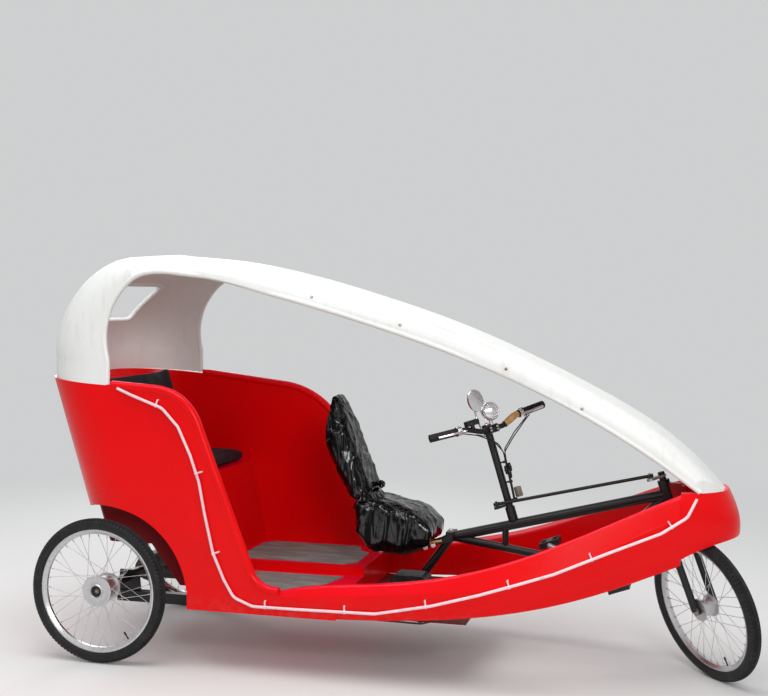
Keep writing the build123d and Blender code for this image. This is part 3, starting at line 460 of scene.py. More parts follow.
@dataclass(frozen=True)
class Enamel(Finish):
    """Gloss paint on steel, chipped to bare grey on a few spots."""

    rough: float = 0.22
    chips: float = 0.735

    def make(self) -> bpy.types.Material:
        """Build the node material."""
        g = Graph(self.name)
        chip = g.ramp(g.noise(95.0, 4.0, 0.6), self.chips, self.chips + 0.02)
        dust = g.times(g.ramp(g.upward(), 0.4, 1.0), g.times(g.noise(40.0, 5.0), 0.16))
        colour = g.mix(chip, g.mix(dust, self.colour, Shade.DUST), Shade.PRIMER)
        g.set(Base_Color=colour, Roughness=g.span(g.noise(20.0, 4.0), self.rough, self.rough + 0.2),
              Specular_IOR_Level=0.4, Normal=g.relief(chip, 0.0003, 0.4))
        return g.material


@dataclass(frozen=True)
class Metal(Finish):
    """Bare or plated metal with turning marks, water spots and rust in patches."""

    rough: float = 0.28
    rust: float = 0.0
    grain: float = 300.0

    def make(self) -> bpy.types.Material:
        """Build the node material."""
        g = Graph(self.name)
        spots = g.spots(g.noise(70.0, 5.0, 0.6), 0.5, 0.8, 0.45)
        colour = g.mix(spots, self.colour, self.darker(0.45))
        patch = g.spots(g.noise(48.0, 6.0, 0.7), 0.62 - 0.25 * self.rust, 0.72, self.rust)
        rough = g.span(g.noise(90.0, 4.0), self.rough, self.rough + 0.18)
        g.set(Base_Color=g.mix(patch, colour, Shade.RUST), Metallic=g.span(patch, 1.0, 0.1),
              Roughness=g.math("MAXIMUM", rough, g.times(patch, 0.8)),
              Normal=g.relief(g.noise(self.grain, 2.0), 0.00008, 0.3))
        return g.material


@dataclass(frozen=True)
class Lens(Finish):
    """Clear moulded lens with fine flutes, over a bright reflector."""

    def make(self) -> bpy.types.Material:
        """Build the node material."""
        g = Graph(self.name)
        flutes = g.bands(120.0, "X", g.stretched((1.0, 1.0, 1.0), (0.0, 0.0, STEER_REST)))
        film = g.spots(g.noise(80.0, 4.0), 0.45, 0.8, 0.4)
        g.set(Base_Color=g.mix(film, self.colour, Shade.LENS_FILM), Roughness=g.span(film, 0.08, 0.3),
              Metallic=0.55, Coat_Weight=1.0, Coat_Roughness=0.04, Normal=g.relief(flutes, 0.0006, 0.5))
        return g.material


@dataclass(frozen=True)
class Cork(Finish):
    """Wrapped tan sleeve with dark flecks and worn paler spots."""

    def make(self) -> bpy.types.Material:
        """Build the node material."""
        g = Graph(self.name)
        fleck = g.spots(g.noise(420.0, 4.0, 0.6), 0.56, 0.68, 0.7)
        pale = g.spots(g.noise(60.0, 3.0), 0.45, 0.7, 0.4)
        colour = g.mix(fleck, g.mix(pale, self.colour, Shade.CORK_PALE), Shade.CORK_FLECK)
        g.set(Base_Color=colour, Roughness=g.span(pale, 0.55, 0.8), Normal=g.relief(fleck, 0.0004, 0.5))
        return g.material


@dataclass(frozen=True)
class TubeLight(Finish):
    """Clear PVC tube over a string of small lamps, milky and a little dirty."""

    pitch: float = 220.0

    def make(self) -> bpy.types.Material:
        """Build the node material."""
        g = Graph(self.name)
        lamps = g.bands(self.pitch, "X")
        colour = g.mix(g.spots(lamps, 0.72, 0.95, 0.35), self.colour, Shade.TUBE_LAMP)
        colour = g.mix(g.spots(g.noise(30.0, 5.0), 0.5, 0.8, 0.35), colour, Shade.DUST)
        g.set(Base_Color=colour, Roughness=g.span(g.noise(60.0, 3.0), 0.18, 0.38), Coat_Weight=0.4,
              Coat_Roughness=0.1, IOR=1.5, Normal=g.relief(lamps, 0.0004, 0.2))
        return g.material


BODY_RED = Moulding("body_red_gloss", Shade.BODY)
# Painted shade: a dark red moulding for surfaces that lie in shade, inside the wheel arches and under the
# floor
SHADED_RED_MOULDING = Moulding("liner_red", Shade.SHADED_RED, painted_highlight=Shade.SHADED_RED, rough=0.4)
HOOD_WHITE = WhiteMoulding("hood_white", Shade.HOOD)
CLOTH = Upholstery("cushion_cloth", Shade.CLOTH)
BAG_FILM = Film("cover_film", Shade.FILM)
TYRE_RUBBER = Rubber("tyre_rubber", Shade.RUBBER, dust=0.07, rough=0.52)
GRIP_RUBBER = Rubber("grip_rubber", Shade.RUBBER, dust=0.12, rough=0.55)
BLACK_PLASTIC = Rubber("black_plastic", Shade.RUBBER, dust=0.18, rough=0.42)
CABLE_SLEEVE = Rubber("cable_sleeve", Shade.RUBBER, dust=0.08, rough=0.4)
HOUSING = Rubber("grey_housing", Shade.HOUSING, dust=0.25, rough=0.5)
FLOOR_MAT = GripMat("floor_mat", Shade.MAT)
BLACK_ENAMEL = Enamel("frame_enamel", Shade.ENAMEL)
RED_ENAMEL = Enamel("bracket_enamel", Shade.RED_ENAMEL)
RIM_ALLOY = Metal("rim_alloy", Shade.ALLOY, rough=0.2)
HUB_ALLOY = Metal("hub_alloy", Shade.ALLOY, rough=0.36, rust=0.25)
STEEL = Metal("bare_steel", Shade.STEEL, rough=0.34, rust=0.35)
RUSTY = Metal("rusty_bolt", Shade.STEEL, rough=0.5, rust=1.0)
CHAIN_STEEL = Metal("chain_steel", Shade.OILED, rough=0.42, rust=0.5)
CHROME = Metal("plated_chrome", Shade.CHROME, rough=0.10)
MIRROR_FACE = Metal("mirror_face", Shade.CHROME, rough=0.03)
ROPE_TUBE = TubeLight("rope_light_tube", Shade.TUBE_LIGHT)
CORK = Cork("tan_sleeve", Shade.CORK)
LAMP_LENS = Lens("lamp_lens", Shade.LENS)
SCREEN = Film("display_screen", Shade.SCREEN, fold=4.0)

# Finishes of the CAD nodes
DRESSING: tuple[tuple[Finish, tuple[str, ...]], ...] = (
    (BODY_RED, ("cab_shell", "bench_moulding", "floor_pan", "side_arm_right", "side_arm_left", "nose")),
    # Painted shade: wheel boxes and belly pan are dark red for the shade that falls there
    (SHADED_RED_MOULDING, ("wheel_boxes", "belly_pan")),
    (HOOD_WHITE, ("hood_rear", "hood_spine")),
    (CLOTH, ("seat_cushion", "back_cushion")),
    (FLOOR_MAT, ("floor_mats",)),
    (BAG_FILM, ("driver_seat_base", "driver_seat_back")),
    (BLACK_ENAMEL, ("frame_tubes", "head_tube", "bottom_bracket", "column_socket", "chassis", "seat_bracket",
                    "fork", "column", "tie_rod", "rear_axle", "handlebar")),
    (RED_ENAMEL, ("nose_bracket",)),
    (STEEL, ("fork_arm", "crankset")),
    (CHAIN_STEEL, ("chain", "chain_idlers")),
    (CHROME, ("brake_levers", "headlamp", "mirror")),
    (BLACK_PLASTIC, ("display", "pedals", "battery_box")),
    (ROPE_TUBE, ("rope_light", "rope_clips")),
    (CABLE_SLEEVE, ("control_cables",)),
    (GRIP_RUBBER, ("grips",)),
    (RIM_ALLOY, ("rear_rim_right", "rear_rim_left", "front_rim")),
    (HUB_ALLOY, ("rear_hub_right", "rear_hub_left", "front_hub")),
    (TYRE_RUBBER, ("rear_tyre_right", "rear_tyre_left", "front_tyre")))


class Paintbox:
    """Makes each finish once and puts it on pieces."""

    def __init__(self) -> None:
        """Start with no finish made."""
        self.made: dict[Finish, bpy.types.Material] = {}

    def dress(self, piece: bpy.types.Object, finish: Finish) -> None:
        """Give a piece one finish all over.

        Args:
            piece: The piece.
            finish: Its finish.
        """
        if finish not in self.made:
            self.made[finish] = finish.make()
        piece.data.materials.clear()
        piece.data.materials.append(self.made[finish])

    def dress_nodes(self) -> None:
        """Give the CAD nodes their finishes."""
        for finish, names in DRESSING:
            for name in names:
                self.dress(frame["nodes"][name], finish)
                log.info("dressed %s in %s", name, finish.name)


PAINT = Paintbox()


def linked(name: str, data: bpy.types.ID) -> bpy.types.Object:
    """New object of a mesh, lamp or camera in the scene."""
    item = bpy.data.objects.new(name, data)
    bpy.context.scene.collection.objects.link(item)
    return item


@dataclass
class Surface:
    """Points and faces of a piece before it becomes an object."""

    points: np.ndarray
    quads: np.ndarray = field(default_factory=lambda: np.zeros((0, 4), int))
    tris: np.ndarray = field(default_factory=lambda: np.zeros((0, 3), int))

    @staticmethod
    def grid(points: np.ndarray, wrap_rows: bool = False, wrap_columns: bool = False) -> "Surface":
        """Sheet over a grid of points.

        Args:
            points: Rows by columns by three.
            wrap_rows: Whether the last row joins the first.
            wrap_columns: Whether the last column joins the first.

        Returns:
            The sheet, with one quad between each four neighbours.
        """
        rows, columns = points.shape[:2]
        index = np.arange(rows * columns).reshape(rows, columns)
        if wrap_rows:
            index = np.vstack([index, index[:1]])
        if wrap_columns:
            index = np.hstack([index, index[:, :1]])
        quads = np.stack([index[:-1, :-1], index[1:, :-1], index[1:, 1:], index[:-1, 1:]], axis=-1)
        return Surface(points.reshape(-1, 3), quads.reshape(-1, 4))

    @staticmethod
    def lathe(profile: Line, sides: int = 24) -> "Surface":
        """Profile turned about Z: x = r cos t, y = r sin t, z = h.

        Args:
            profile: Radius and height of each point, in millimetres.
            sides: Points round the axis.

        Returns:
            The turned surface in metres.
        """
        radius, height = np.array(profile, float).T[..., None] / 1000
        turn = np.linspace(0.0, 2 * pi, sides, endpoint=False)
        rings = np.stack([radius * np.cos(turn), radius * np.sin(turn), height + 0 * turn], axis=-1)
        return Surface.grid(rings, wrap_columns=True)

    @staticmethod
    def stacked(edge: np.ndarray, steps: Line) -> "Surface":
        """Outline in a plane, scaled by k at each height h: x = k ex, y = k ey, z = h.

        Args:
            edge: The outline's points, n by 2, in millimetres.
            steps: Scale and height of each ring, the height in millimetres.

        Returns:
            The body between the rings.
        """
        rings = [np.column_stack([edge * k, np.full(len(edge), h)]) / 1000 for k, h in steps]
        return Surface.grid(np.stack(rings), wrap_columns=True)

    @staticmethod
    def tube(path: np.ndarray, radius: float | np.ndarray, sides: int = 10, closed: bool = False,
             lead: Point | None = None) -> "Surface":
        """Round tube: a circle square to the path at each of its points.

        Args:
            path: Points along the middle, n by 3.
            radius: One radius, or one for each point.
            sides: Corners of the circle.
            closed: Whether the path joins its own start.
            lead: A direction that the path never takes, or None for a guess.

        Returns:
            The tube, capped where it isn't closed.
        """
        if closed:
            along = np.roll(path, -1, axis=0) - np.roll(path, 1, axis=0)
        else:
            along = np.gradient(path, axis=0)
        along = along / np.linalg.norm(along, axis=1, keepdims=True)
        if lead is None:
            lead = (0.31, 0.17, 0.93) if abs(along[:, 2]).mean() < 0.7 else (0.2, 0.96, 0.1)
        side = np.cross(along, lead)
        side = side / np.linalg.norm(side, axis=1, keepdims=True)
        up = np.cross(side, along)
        turn = np.linspace(0.0, 2 * pi, sides, endpoint=False)
        size = np.broadcast_to(np.asarray(radius, float), len(path))[:, None, None]
        ring = side[:, None] * np.cos(turn)[:, None] + up[:, None] * np.sin(turn)[:, None]
        skin = Surface.grid(path[:, None] + size * ring, wrap_rows=closed, wrap_columns=True)
        if closed:
            return skin
        ends = Surface(np.vstack([skin.points, path[:1], path[-1:]]), skin.quads)
        around = np.arange(sides)
        after = (around + 1) % sides
        last = (len(path) - 1) * sides
        start = np.stack([np.full(sides, len(skin.points)), after, around], axis=1)
        stop = np.stack([np.full(sides, len(skin.points) + 1), last + around, last + after], axis=1)
        ends.tris = np.vstack([start, stop])
        return ends

    @staticmethod
    def union(pieces: list["Surface"]) -> "Surface":
        """Several surfaces as one.

        Args:
            pieces: The surfaces.

        Returns:
            One surface with all their points and faces.
        """
        starts = np.cumsum([0] + [len(p.points) for p in pieces[:-1]])
        return Surface(np.vstack([p.points for p in pieces]),
                       np.vstack([p.quads + s for p, s in zip(pieces, starts)]),
                       np.vstack([p.tris + s for p, s in zip(pieces, starts)]))

    def placed(self, origin: Vector, z_axis: Vector, x_axis: Vector | None = None) -> "Surface":
        """Copy moved from the world's axes to an origin and a direction.

        Args:
            origin: Where the old origin goes.
            z_axis: Where the old Z points.
            x_axis: Roughly where the old X points, or None where it doesn't matter.

        Returns:
            The moved surface.
        """
        z = np.array(Vector(z_axis).normalized())
        if x_axis is None:
            x_axis = (1, 0, 0) if abs(z[0]) < 0.8 else (0, 0, 1)
        lead = np.array(x_axis, float)
        x = lead - z * (lead @ z)
        x = x / np.linalg.norm(x)
        basis = np.stack([x, np.cross(z, x), z])
        return Surface(self.points @ basis + np.array(origin, float), self.quads, self.tris)

    def repeated(self, origins: np.ndarray, basis: np.ndarray) -> "Surface":
        """Copies at many places, each turned by its own basis.

        Args:
            origins: One place a copy, n by 3.
            basis: X, Y and Z directions of each copy as rows, n by 3 by 3.

        Returns:
            All copies as one surface.
        """
        points = origins[:, None] + np.einsum("pi,nij->npj", self.points, basis)
        starts = (np.arange(len(origins)) * len(self.points))[:, None, None]
        return Surface(points.reshape(-1, 3), (self.quads[None] + starts).reshape(-1, 4))

    def build(self, name: str, finish: Finish, body: str, slot: str, crease: float = 40.0,
              parts: tuple[str, ...] = ()) -> None:
        """Make the object, dress it and let it ride.

        Args:
            name: The piece's name.
            finish: Its finish.
            body: The CAD body it rides on.
            slot: The record's material slot; not used.
            crease: Edges bent by more than this many degrees stay sharp.
            parts: CAD nodes that it replaces.
        """
        mesh = bpy.data.meshes.new(name)
        mesh.from_pydata(self.points.tolist(), [], self.quads.tolist() + self.tris.tolist())
        work = bmesh.new()
        work.from_mesh(mesh)
        bmesh.ops.remove_doubles(work, verts=work.verts, dist=1e-6)
        bmesh.ops.recalc_face_normals(work, faces=work.faces)
        work.to_mesh(mesh)
        work.free()
        mesh.shade_smooth()
        mesh.set_sharp_from_angle(angle=radians(crease))
        piece = linked(name, mesh)
        PAINT.dress(piece, finish)
        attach(piece, body)
        if parts:
            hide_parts(*parts)
        log.info("built %s with %d faces", name, len(mesh.polygons))


def hex_bolt(radius: float, height: float) -> Surface:
    """Hexagon head on a washer, standing on the plane Z = 0: two short lathes of 6 and 16 sides.

    Args:
        radius: The head's corner radius in millimetres.
        height: The head's height in millimetres.

    Returns:
        Head and washer.
    """
    thick = 0.12 * height
    head = [(0, height), (0.88 * radius, height), (radius, 0.85 * height), (radius, 0), (0, 0)]
    washer = [(0, thick), (1.45 * radius, thick), (1.5 * radius, 0), (0, 0)]
    return Surface.union([Surface.lathe(head, 6), Surface.lathe(washer, 16)])


def place(x: float, y: float, z: float) -> np.ndarray:
    """Point of the drawings, in millimetres from the rear axle, as a point of the frame."""
    return np.array([x / 1000 + AXLE_X, y / 1000, z / 1000])


def placed_line(line: np.ndarray, side: float = 1.0) -> np.ndarray:
    """Points of the drawings as points of the frame, mirrored where side is -1."""
    return line * [1.0, side, 1.0] / 1000 + [AXLE_X, 0.0, 0.0]


def rounded(corners: list[tuple[float, ...]], radii: list[float], steps: int = 9) -> np.ndarray:
    """Runs between corners with an arc of the given radius at each inner corner.

    Args:
        corners: Corner points.
        radii: Radius at each inner corner.
        steps: Points on each arc.

    Returns:
        Points along the line.
    """
    points = np.array(corners, float)
    line = [points[:1]]
    for before, corner, after, radius in zip(points, points[1:], points[2:], radii):
        into = (corner - before) / np.linalg.norm(corner - before)
        out = (after - corner) / np.linalg.norm(after - corner)
        bend = np.arccos(np.clip(into @ out, -1.0, 1.0))
        inward = (out - into) / np.linalg.norm(out - into)
        onward = (into + out) / np.linalg.norm(into + out)
        centre = corner + inward * radius / np.cos(bend / 2)
        angle = np.linspace(-bend / 2, bend / 2, steps)[:, None]
        line.append(centre + radius * (onward * np.sin(angle) - inward * np.cos(angle)))
    return np.vstack([*line, points[-1:]])


def spaced(path: np.ndarray, step: float) -> np.ndarray:
    """Points at an even spacing along a line.

    Args:
        path: The line's points.
        step: About how far apart the new points stand.

    Returns:
        The new points, the first and the last at the line's ends.
    """
    run = np.concatenate([[0.0], np.cumsum(np.linalg.norm(np.diff(path, axis=0), axis=1))])
    at = np.linspace(0.0, run[-1], max(2, int(round(run[-1] / step)) + 1))
    return np.stack([np.interp(at, run, path[:, i]) for i in range(path.shape[1])], axis=1)


def flowing(points: np.ndarray, steps: int = 10) -> np.ndarray:
    """Smooth line through points: on each run p = h0 a + h1 ta + h2 b + h3 tb with cubic Hermite weights h.

    Args:
        points: The points that the line goes through.
        steps: Points on each run.

    Returns:
        Points along the line.
    """
    gap = np.linalg.norm(np.diff(points, axis=0), axis=1)
    slope = np.diff(points, axis=0) / gap[:, None]
    inner = (slope[:-1] * gap[1:, None] + slope[1:] * gap[:-1, None]) / (gap[1:] + gap[:-1])[:, None]
    tangent = np.vstack([slope[:1], inner, slope[-1:]])
    t = np.linspace(0.0, 1.0, steps, endpoint=False)[None, :, None]
    a, b = points[:-1, None], points[1:, None]
    ta, tb = tangent[:-1, None] * gap[:, None, None], tangent[1:, None] * gap[:, None, None]
    run = ((2 * t**3 - 3 * t**2 + 1) * a + (t**3 - 2 * t**2 + t) * ta + (3 * t**2 - 2 * t**3) * b
           + (t**3 - t**2) * tb)
    return np.vstack([run.reshape(-1, points.shape[1]), points[-1:]])


def on_skin(node: str, start: np.ndarray, toward: np.ndarray) -> tuple[np.ndarray, np.ndarray]:
    """Where a ray first meets a CAD node.

    Args:
        node: The node's name.
        start: The ray's start.
        toward: Its direction.

    Returns:
        The point and the outward normal there.
    """
    mesh = frame["nodes"][node].data
    tree = BVHTree.FromPolygons([v.co for v in mesh.vertices], [p.vertices for p in mesh.polygons])
    point, normal, _, _ = tree.ray_cast(Vector(start), Vector(toward))
    if point is None:
        raise ValueError(f"no hit on {node} from {start} toward {toward}")
    return np.array(point), np.array(normal if normal.dot(Vector(toward)) < 0 else -normal)


@dataclass
class Stage:
    """Floor, daylight and the camera at the photograph's place; lengths in pixels and metres."""

    focal: float = 1187.035
    heading: float = 0.263178
    offset: float = -1.078042
    distance: float = 5.437701
    height: float = 1.549812
    horizon: float = 297.7788
    roll: float = 0.0045139
    width: float = 768.0
    middle: float = 348.0
    sensor: float = 36.0
    floor_half: float = 40.0
    fade: float = 9.0
    ground: Colour = (0.74, 0.735, 0.72)
    backdrop: Colour = (0.62, 0.625, 0.63)
    sky: Colour = (0.93, 0.96, 1.0)
    level: float = 0.58
    # Columns: name, place, aim, side, watts
    lamps: tuple[tuple[str, Point, Point, float, float], ...] = (
        ("overhead", (-0.6, -1.2, 5.5), (0.0, 0.0, 0.5), 4.0, 190.0),
        ("front", (2.8, -5.5, 3.2), (0.3, 0.0, 0.7), 2.0, 120.0),
        ("back", (-3.5, 4.5, 3.0), (0.0, 0.0, 0.8), 2.5, 70.0))

    def axes(self) -> tuple[np.ndarray, np.ndarray, np.ndarray, np.ndarray]:
        """Pose of the camera from the fitted heading, pitch and roll.

        Returns:
            The camera's place, right, up and view directions.
        """
        tilt = np.arctan((self.middle - self.horizon) / self.focal)
        right = np.array([cos(self.heading), sin(self.heading), 0.0])
        ahead = np.array([-sin(self.heading) * cos(tilt), cos(self.heading) * cos(tilt), -sin(tilt)])
        above = np.cross(right, ahead)
        x_axis = right * cos(self.roll) + above * sin(self.roll)
        y_axis = above * cos(self.roll) - right * sin(self.roll)
        x = -self.offset * cos(self.heading) + self.distance * sin(self.heading)
        y = -self.offset * sin(self.heading) - self.distance * cos(self.heading)
        return np.array([x + AXLE_X, y, self.height]), x_axis, y_axis, ahead

    def ray(self, px: float, py: float) -> tuple[np.ndarray, np.ndarray]:
        """Ray from the camera through a pixel of the photograph.

        Args:
            px: Pixels from the left.
            py: Pixels from the top.

        Returns:
            The ray's start and direction.
        """
        eye, x_axis, y_axis, ahead = self.axes()
        toward = (ahead + x_axis * (px - self.width / 2) / self.focal
                  + y_axis * (self.middle - py) / self.focal)
        return eye, toward / np.linalg.norm(toward)

    def camera(self) -> None:
        """Camera that a fit to the photograph gives: place, pitch, roll and lens."""
        eye, x_axis, y_axis, ahead = self.axes()
        data = bpy.data.cameras.new("camera")
        data.sensor_fit = "HORIZONTAL"
        data.sensor_width = self.sensor
        data.lens = self.focal / self.width * self.sensor
        camera = linked("camera", data)
        turned = Matrix((x_axis, y_axis, -ahead)).transposed().to_4x4()
        camera.matrix_world = Matrix.Translation(Vector(eye)) @ turned
        bpy.context.scene.camera = camera

    def floor(self) -> None:
        """Plain pale floor that fades to the backdrop's colour far from the vehicle."""
        mesh = bpy.data.meshes.new("floor")
        half = self.floor_half
        corners = [(-half, -half, 0), (half, -half, 0), (half, half, 0), (-half, half, 0)]
        mesh.from_pydata(corners, [], [(0, 1, 2, 3)])
        g = Graph("floor_pale")
        g.set(Base_Color=g.mix(g.noise(1.2, 4.0), self.ground, tuple(0.97 * c for c in self.ground)),
              Roughness=0.9, Specular_IOR_Level=0.0)
        glow = g.node("Emission", Color=self.backdrop)
        far = g.ramp(g.near((0.0, 0.0, 0.0), self.fade), 0.85, 0.25)
        pick = g.node("MixShader")
        seen = g.node("LightPath").outputs["Is Camera Ray"]
        for slot, source in enumerate((g.times(far, seen), g.shader.outputs["BSDF"], glow.outputs[0])):
            g.feed(pick.inputs[slot], source)
        g.feed(g.output.inputs["Surface"], pick.outputs[0])
        mesh.materials.append(g.material)
        linked("floor", mesh)

    def daylight(self) -> None:
        """Even pale sky that shows as the backdrop's colour, and soft square lamps."""
        scene = bpy.context.scene
        scene.world = bpy.data.worlds.new("sky")
        scene.world.use_nodes = True
        tree = scene.world.node_tree
        tree.nodes.clear()
        light, seen = (tree.nodes.new("ShaderNodeBackground") for _ in range(2))
        light.inputs["Color"].default_value = (*self.sky, 1.0)
        light.inputs["Strength"].default_value = self.level
        seen.inputs["Color"].default_value = (*self.backdrop, 1.0)
        path = tree.nodes.new("ShaderNodeLightPath")
        share = path.outputs["Is Camera Ray"]
        for ray in ("Is Glossy Ray", "Is Transmission Ray"):
            either = tree.nodes.new("ShaderNodeMath")
            either.operation = "MAXIMUM"
            tree.links.new(share, either.inputs[0])
            tree.links.new(path.outputs[ray], either.inputs[1])
            share = either.outputs[0]
        pick = tree.nodes.new("ShaderNodeMixShader")
        for slot, source in enumerate((share, light.outputs[0], seen.outputs[0])):
            tree.links.new(source, pick.inputs[slot])
        tree.links.new(pick.outputs[0], tree.nodes.new("ShaderNodeOutputWorld").inputs["Surface"])
        for name, at, aim, side, watts in self.lamps:
            data = bpy.data.lights.new(name, "AREA")
            data.size = side
            data.energy = watts
            lamp = linked(name, data)
            lamp.location = at
            lamp.rotation_euler = (Vector(aim) - Vector(at)).to_track_quat("-Z", "Y").to_euler()
        scene.view_settings.view_transform = "Standard"

    def build(self) -> None:
        """Set the whole stage."""
        self.camera()
        self.floor()
        self.daylight()


@dataclass
class Wheel:
    """One spoked wheel: treaded tyre, nipples at the spoke ends and a valve."""

    name: str
    body: str
    joint: str
    tyre_node: str
    around: int = 864
    tread_points: int = 43
    tread_half: float = 63.0
    tread_reach: float = 60.0
    groove: float = 0.0036
    groove_half: float = 2.6
    groove_at: tuple[float, ...] = (9.0, 24.0, 39.0)
    wall_rib: float = 0.00045
    wall_rib_half: float = 2.2
    wall_rib_at: tuple[float, ...] = (84.0, 104.0)
    wall_step: float = 0.0005
    wall: tuple[float, ...] = (68.0, 75.0, 82.0, 86.0, 94.0, 103.0, 110.0, 122.0, 134.0)
    bead: float = RIM_R - 0.001
    bead_half: float = 0.0125
    blocks: int = 108
    slot_shift: float = 0.9
    slot_lean: float = 0.07
    spokes: int = 36
    valve_at: float = 5.5
    rim_depth: float = 0.020
    nipple_profile: Line = ((0, 0), (2.3, 0), (2.3, 4), (1.7, 5), (1.7, 13), (0, 13))
    valve_profile: Line = ((0, 0), (4, 0), (4, 6), (3, 8), (3, 24), (4, 25), (4, 35), (2.8, 38), (0, 38))

    def __post_init__(self) -> None:
        """Read the wheel's centre and axle from its joint."""
        joint = JOINTS[self.joint]
        self.centre = Vector(joint["pos_m"])
        self.axle = Vector(joint["axis"]).normalized()
        self.level = Vector((1, 0, 0)) - self.axle * self.axle.x
        self.level.normalize()
        self.across = self.axle.cross(self.level)

    def tyre(self) -> None:
        """Tyre skin with its tread.

        The section is an arc of the tyre's radius from bead to bead. A point at angle t round the wheel and
        angle p round the section sits at r = R - T + (T - g) cos p and h = (T - g) sin p, where the groove
        depth g is 0 outside the tread. Grooves run round at fixed p, and slots cross between them where the
        cosine of n t + lean p is high. The points stand closer together on the tread than on the side walls.
        """
        turn = np.linspace(0.0, 2 * pi, self.around, endpoint=False)[:, None]
        wall = np.array(self.wall)
        tread = np.linspace(-self.tread_half, self.tread_half, self.tread_points)
        section = np.radians(np.concatenate([-wall[::-1], tread, wall]))[None, :]
        reach = np.degrees(np.abs(section))
        rings = sum(np.exp(-(((reach - at) / self.groove_half) ** 2)) for at in self.groove_at)
        ribs = sum(np.exp(-(((reach - at) / self.wall_rib_half) ** 2)) for at in self.wall_rib_at)
        phase = turn * self.blocks + np.sign(section) * self.slot_shift + reach * self.slot_lean
        slots = np.clip(np.cos(phase) * 2.4 - 1.1, 0.0, 1.0) * np.clip((reach - 5.0) / 3.0, 0.0, 1.0)
        inside = np.clip((self.tread_reach - reach) / 3.0, 0.0, 1.0)
        depth = self.groove * np.clip(rings + slots, 0.0, 1.0) * inside
        step = self.wall_step * np.clip((reach - self.tread_reach) / 6.0, 0.0, 1.0)
        size = TYRE_R - depth - step + self.wall_rib * ribs
        radius = WHEEL_R - TYRE_R + size * np.cos(section)
        height = size * np.sin(section) + 0 * turn
        radius = np.hstack([radius, np.full((self.around, 2), self.bead)])
        height = np.hstack([height, np.tile([self.bead_half, -self.bead_half], (self.around, 1))])
        skin = np.stack([radius * np.cos(turn), radius * np.sin(turn), height], axis=-1)
        tyre = Surface.grid(skin, wrap_rows=True, wrap_columns=True)
        tyre = tyre.placed(self.centre, self.axle, self.level)
        tyre.build(f"tyre_tread_{self.name}", TYRE_RUBBER, self.body, "tyre_black", 30.0, (self.tyre_node,))

    def out(self, spoke: float) -> Vector:
        """Direction from the axle to a spoke, counted from the level one."""
        turn = 2 * pi * spoke / self.spokes
        return self.level * cos(turn) + self.across * sin(turn)

    def nipples(self) -> None:
        """Spoke nipples just inside the rim: a short stepped lathe repeated round the wheel."""
        shape = Surface.lathe(self.nipple_profile, 8)
        start = RIM_R - self.rim_depth - 0.0004
        pieces = [shape.placed(self.centre + self.out(i) * start, -self.out(i)) for i in range(self.spokes)]
        Surface.union(pieces).build(f"spoke_nipples_{self.name}", STEEL, self.body, "hub_silver")

    def valve(self) -> None:
        """Tyre valve with its cap, through the rim between two spokes."""
        out = self.out(self.valve_at)
        foot = self.centre + out * (RIM_R - self.rim_depth + 0.002)
        stem = Surface.lathe(self.valve_profile, 14).placed(foot, -out)
        stem.build(f"valve_{self.name}", BLACK_PLASTIC, self.body, "hub_silver")

    def build(self) -> None:
        """Make the wheel's pieces."""
        self.tyre()
        self.nipples()
        self.valve()


@dataclass
class CabRim:
    """Rolled rim along the top of both cab walls, down to the sills."""

    roll: float = 0.0195
    wall: float = 30.0
    low: float = 250.0
    high: float = 1200.0
    half_low: float = 458.0
    half_high: float = 490.0
    # Outlines: x, z
    right: tuple[Pair, ...] = ((64, 1179), (400, 1156), (700, 346), (797, 348))
    right_radii: tuple[float, ...] = (210.0, 120.0)
    left: tuple[Pair, ...] = ((64, 1174), (100, 1172), (720, 1096), (985, 406), (1007, 352))
    left_radii: tuple[float, ...] = (60.0, 380.0, 40.0)

    def line(self, side: int) -> np.ndarray:
        """Middle of the roll: y = half width at that height less half the wall.

        Args:
            side: -1 for the right wall, 1 for the left.

        Returns:
            Points along the roll.
        """
        outline, radii = (self.right, self.right_radii) if side < 0 else (self.left, self.left_radii)
        path = spaced(rounded([(x, 0.0, z) for x, z in outline], list(radii), 24), 12.0)
        share = (path[:, 2] - self.low) / (self.high - self.low)
        path[:, 1] = self.half_low + (self.half_high - self.half_low) * share - self.wall / 2
        return placed_line(path, side)

    def build(self) -> None:
        """Make both rolls."""
        rolls = [Surface.tube(self.line(side), self.roll, 20, lead=(0, 1, 0)) for side in (-1, 1)]
        Surface.union(rolls).build("cab_rolled_rim", BODY_RED, "vehicle", "body_red", 50.0)


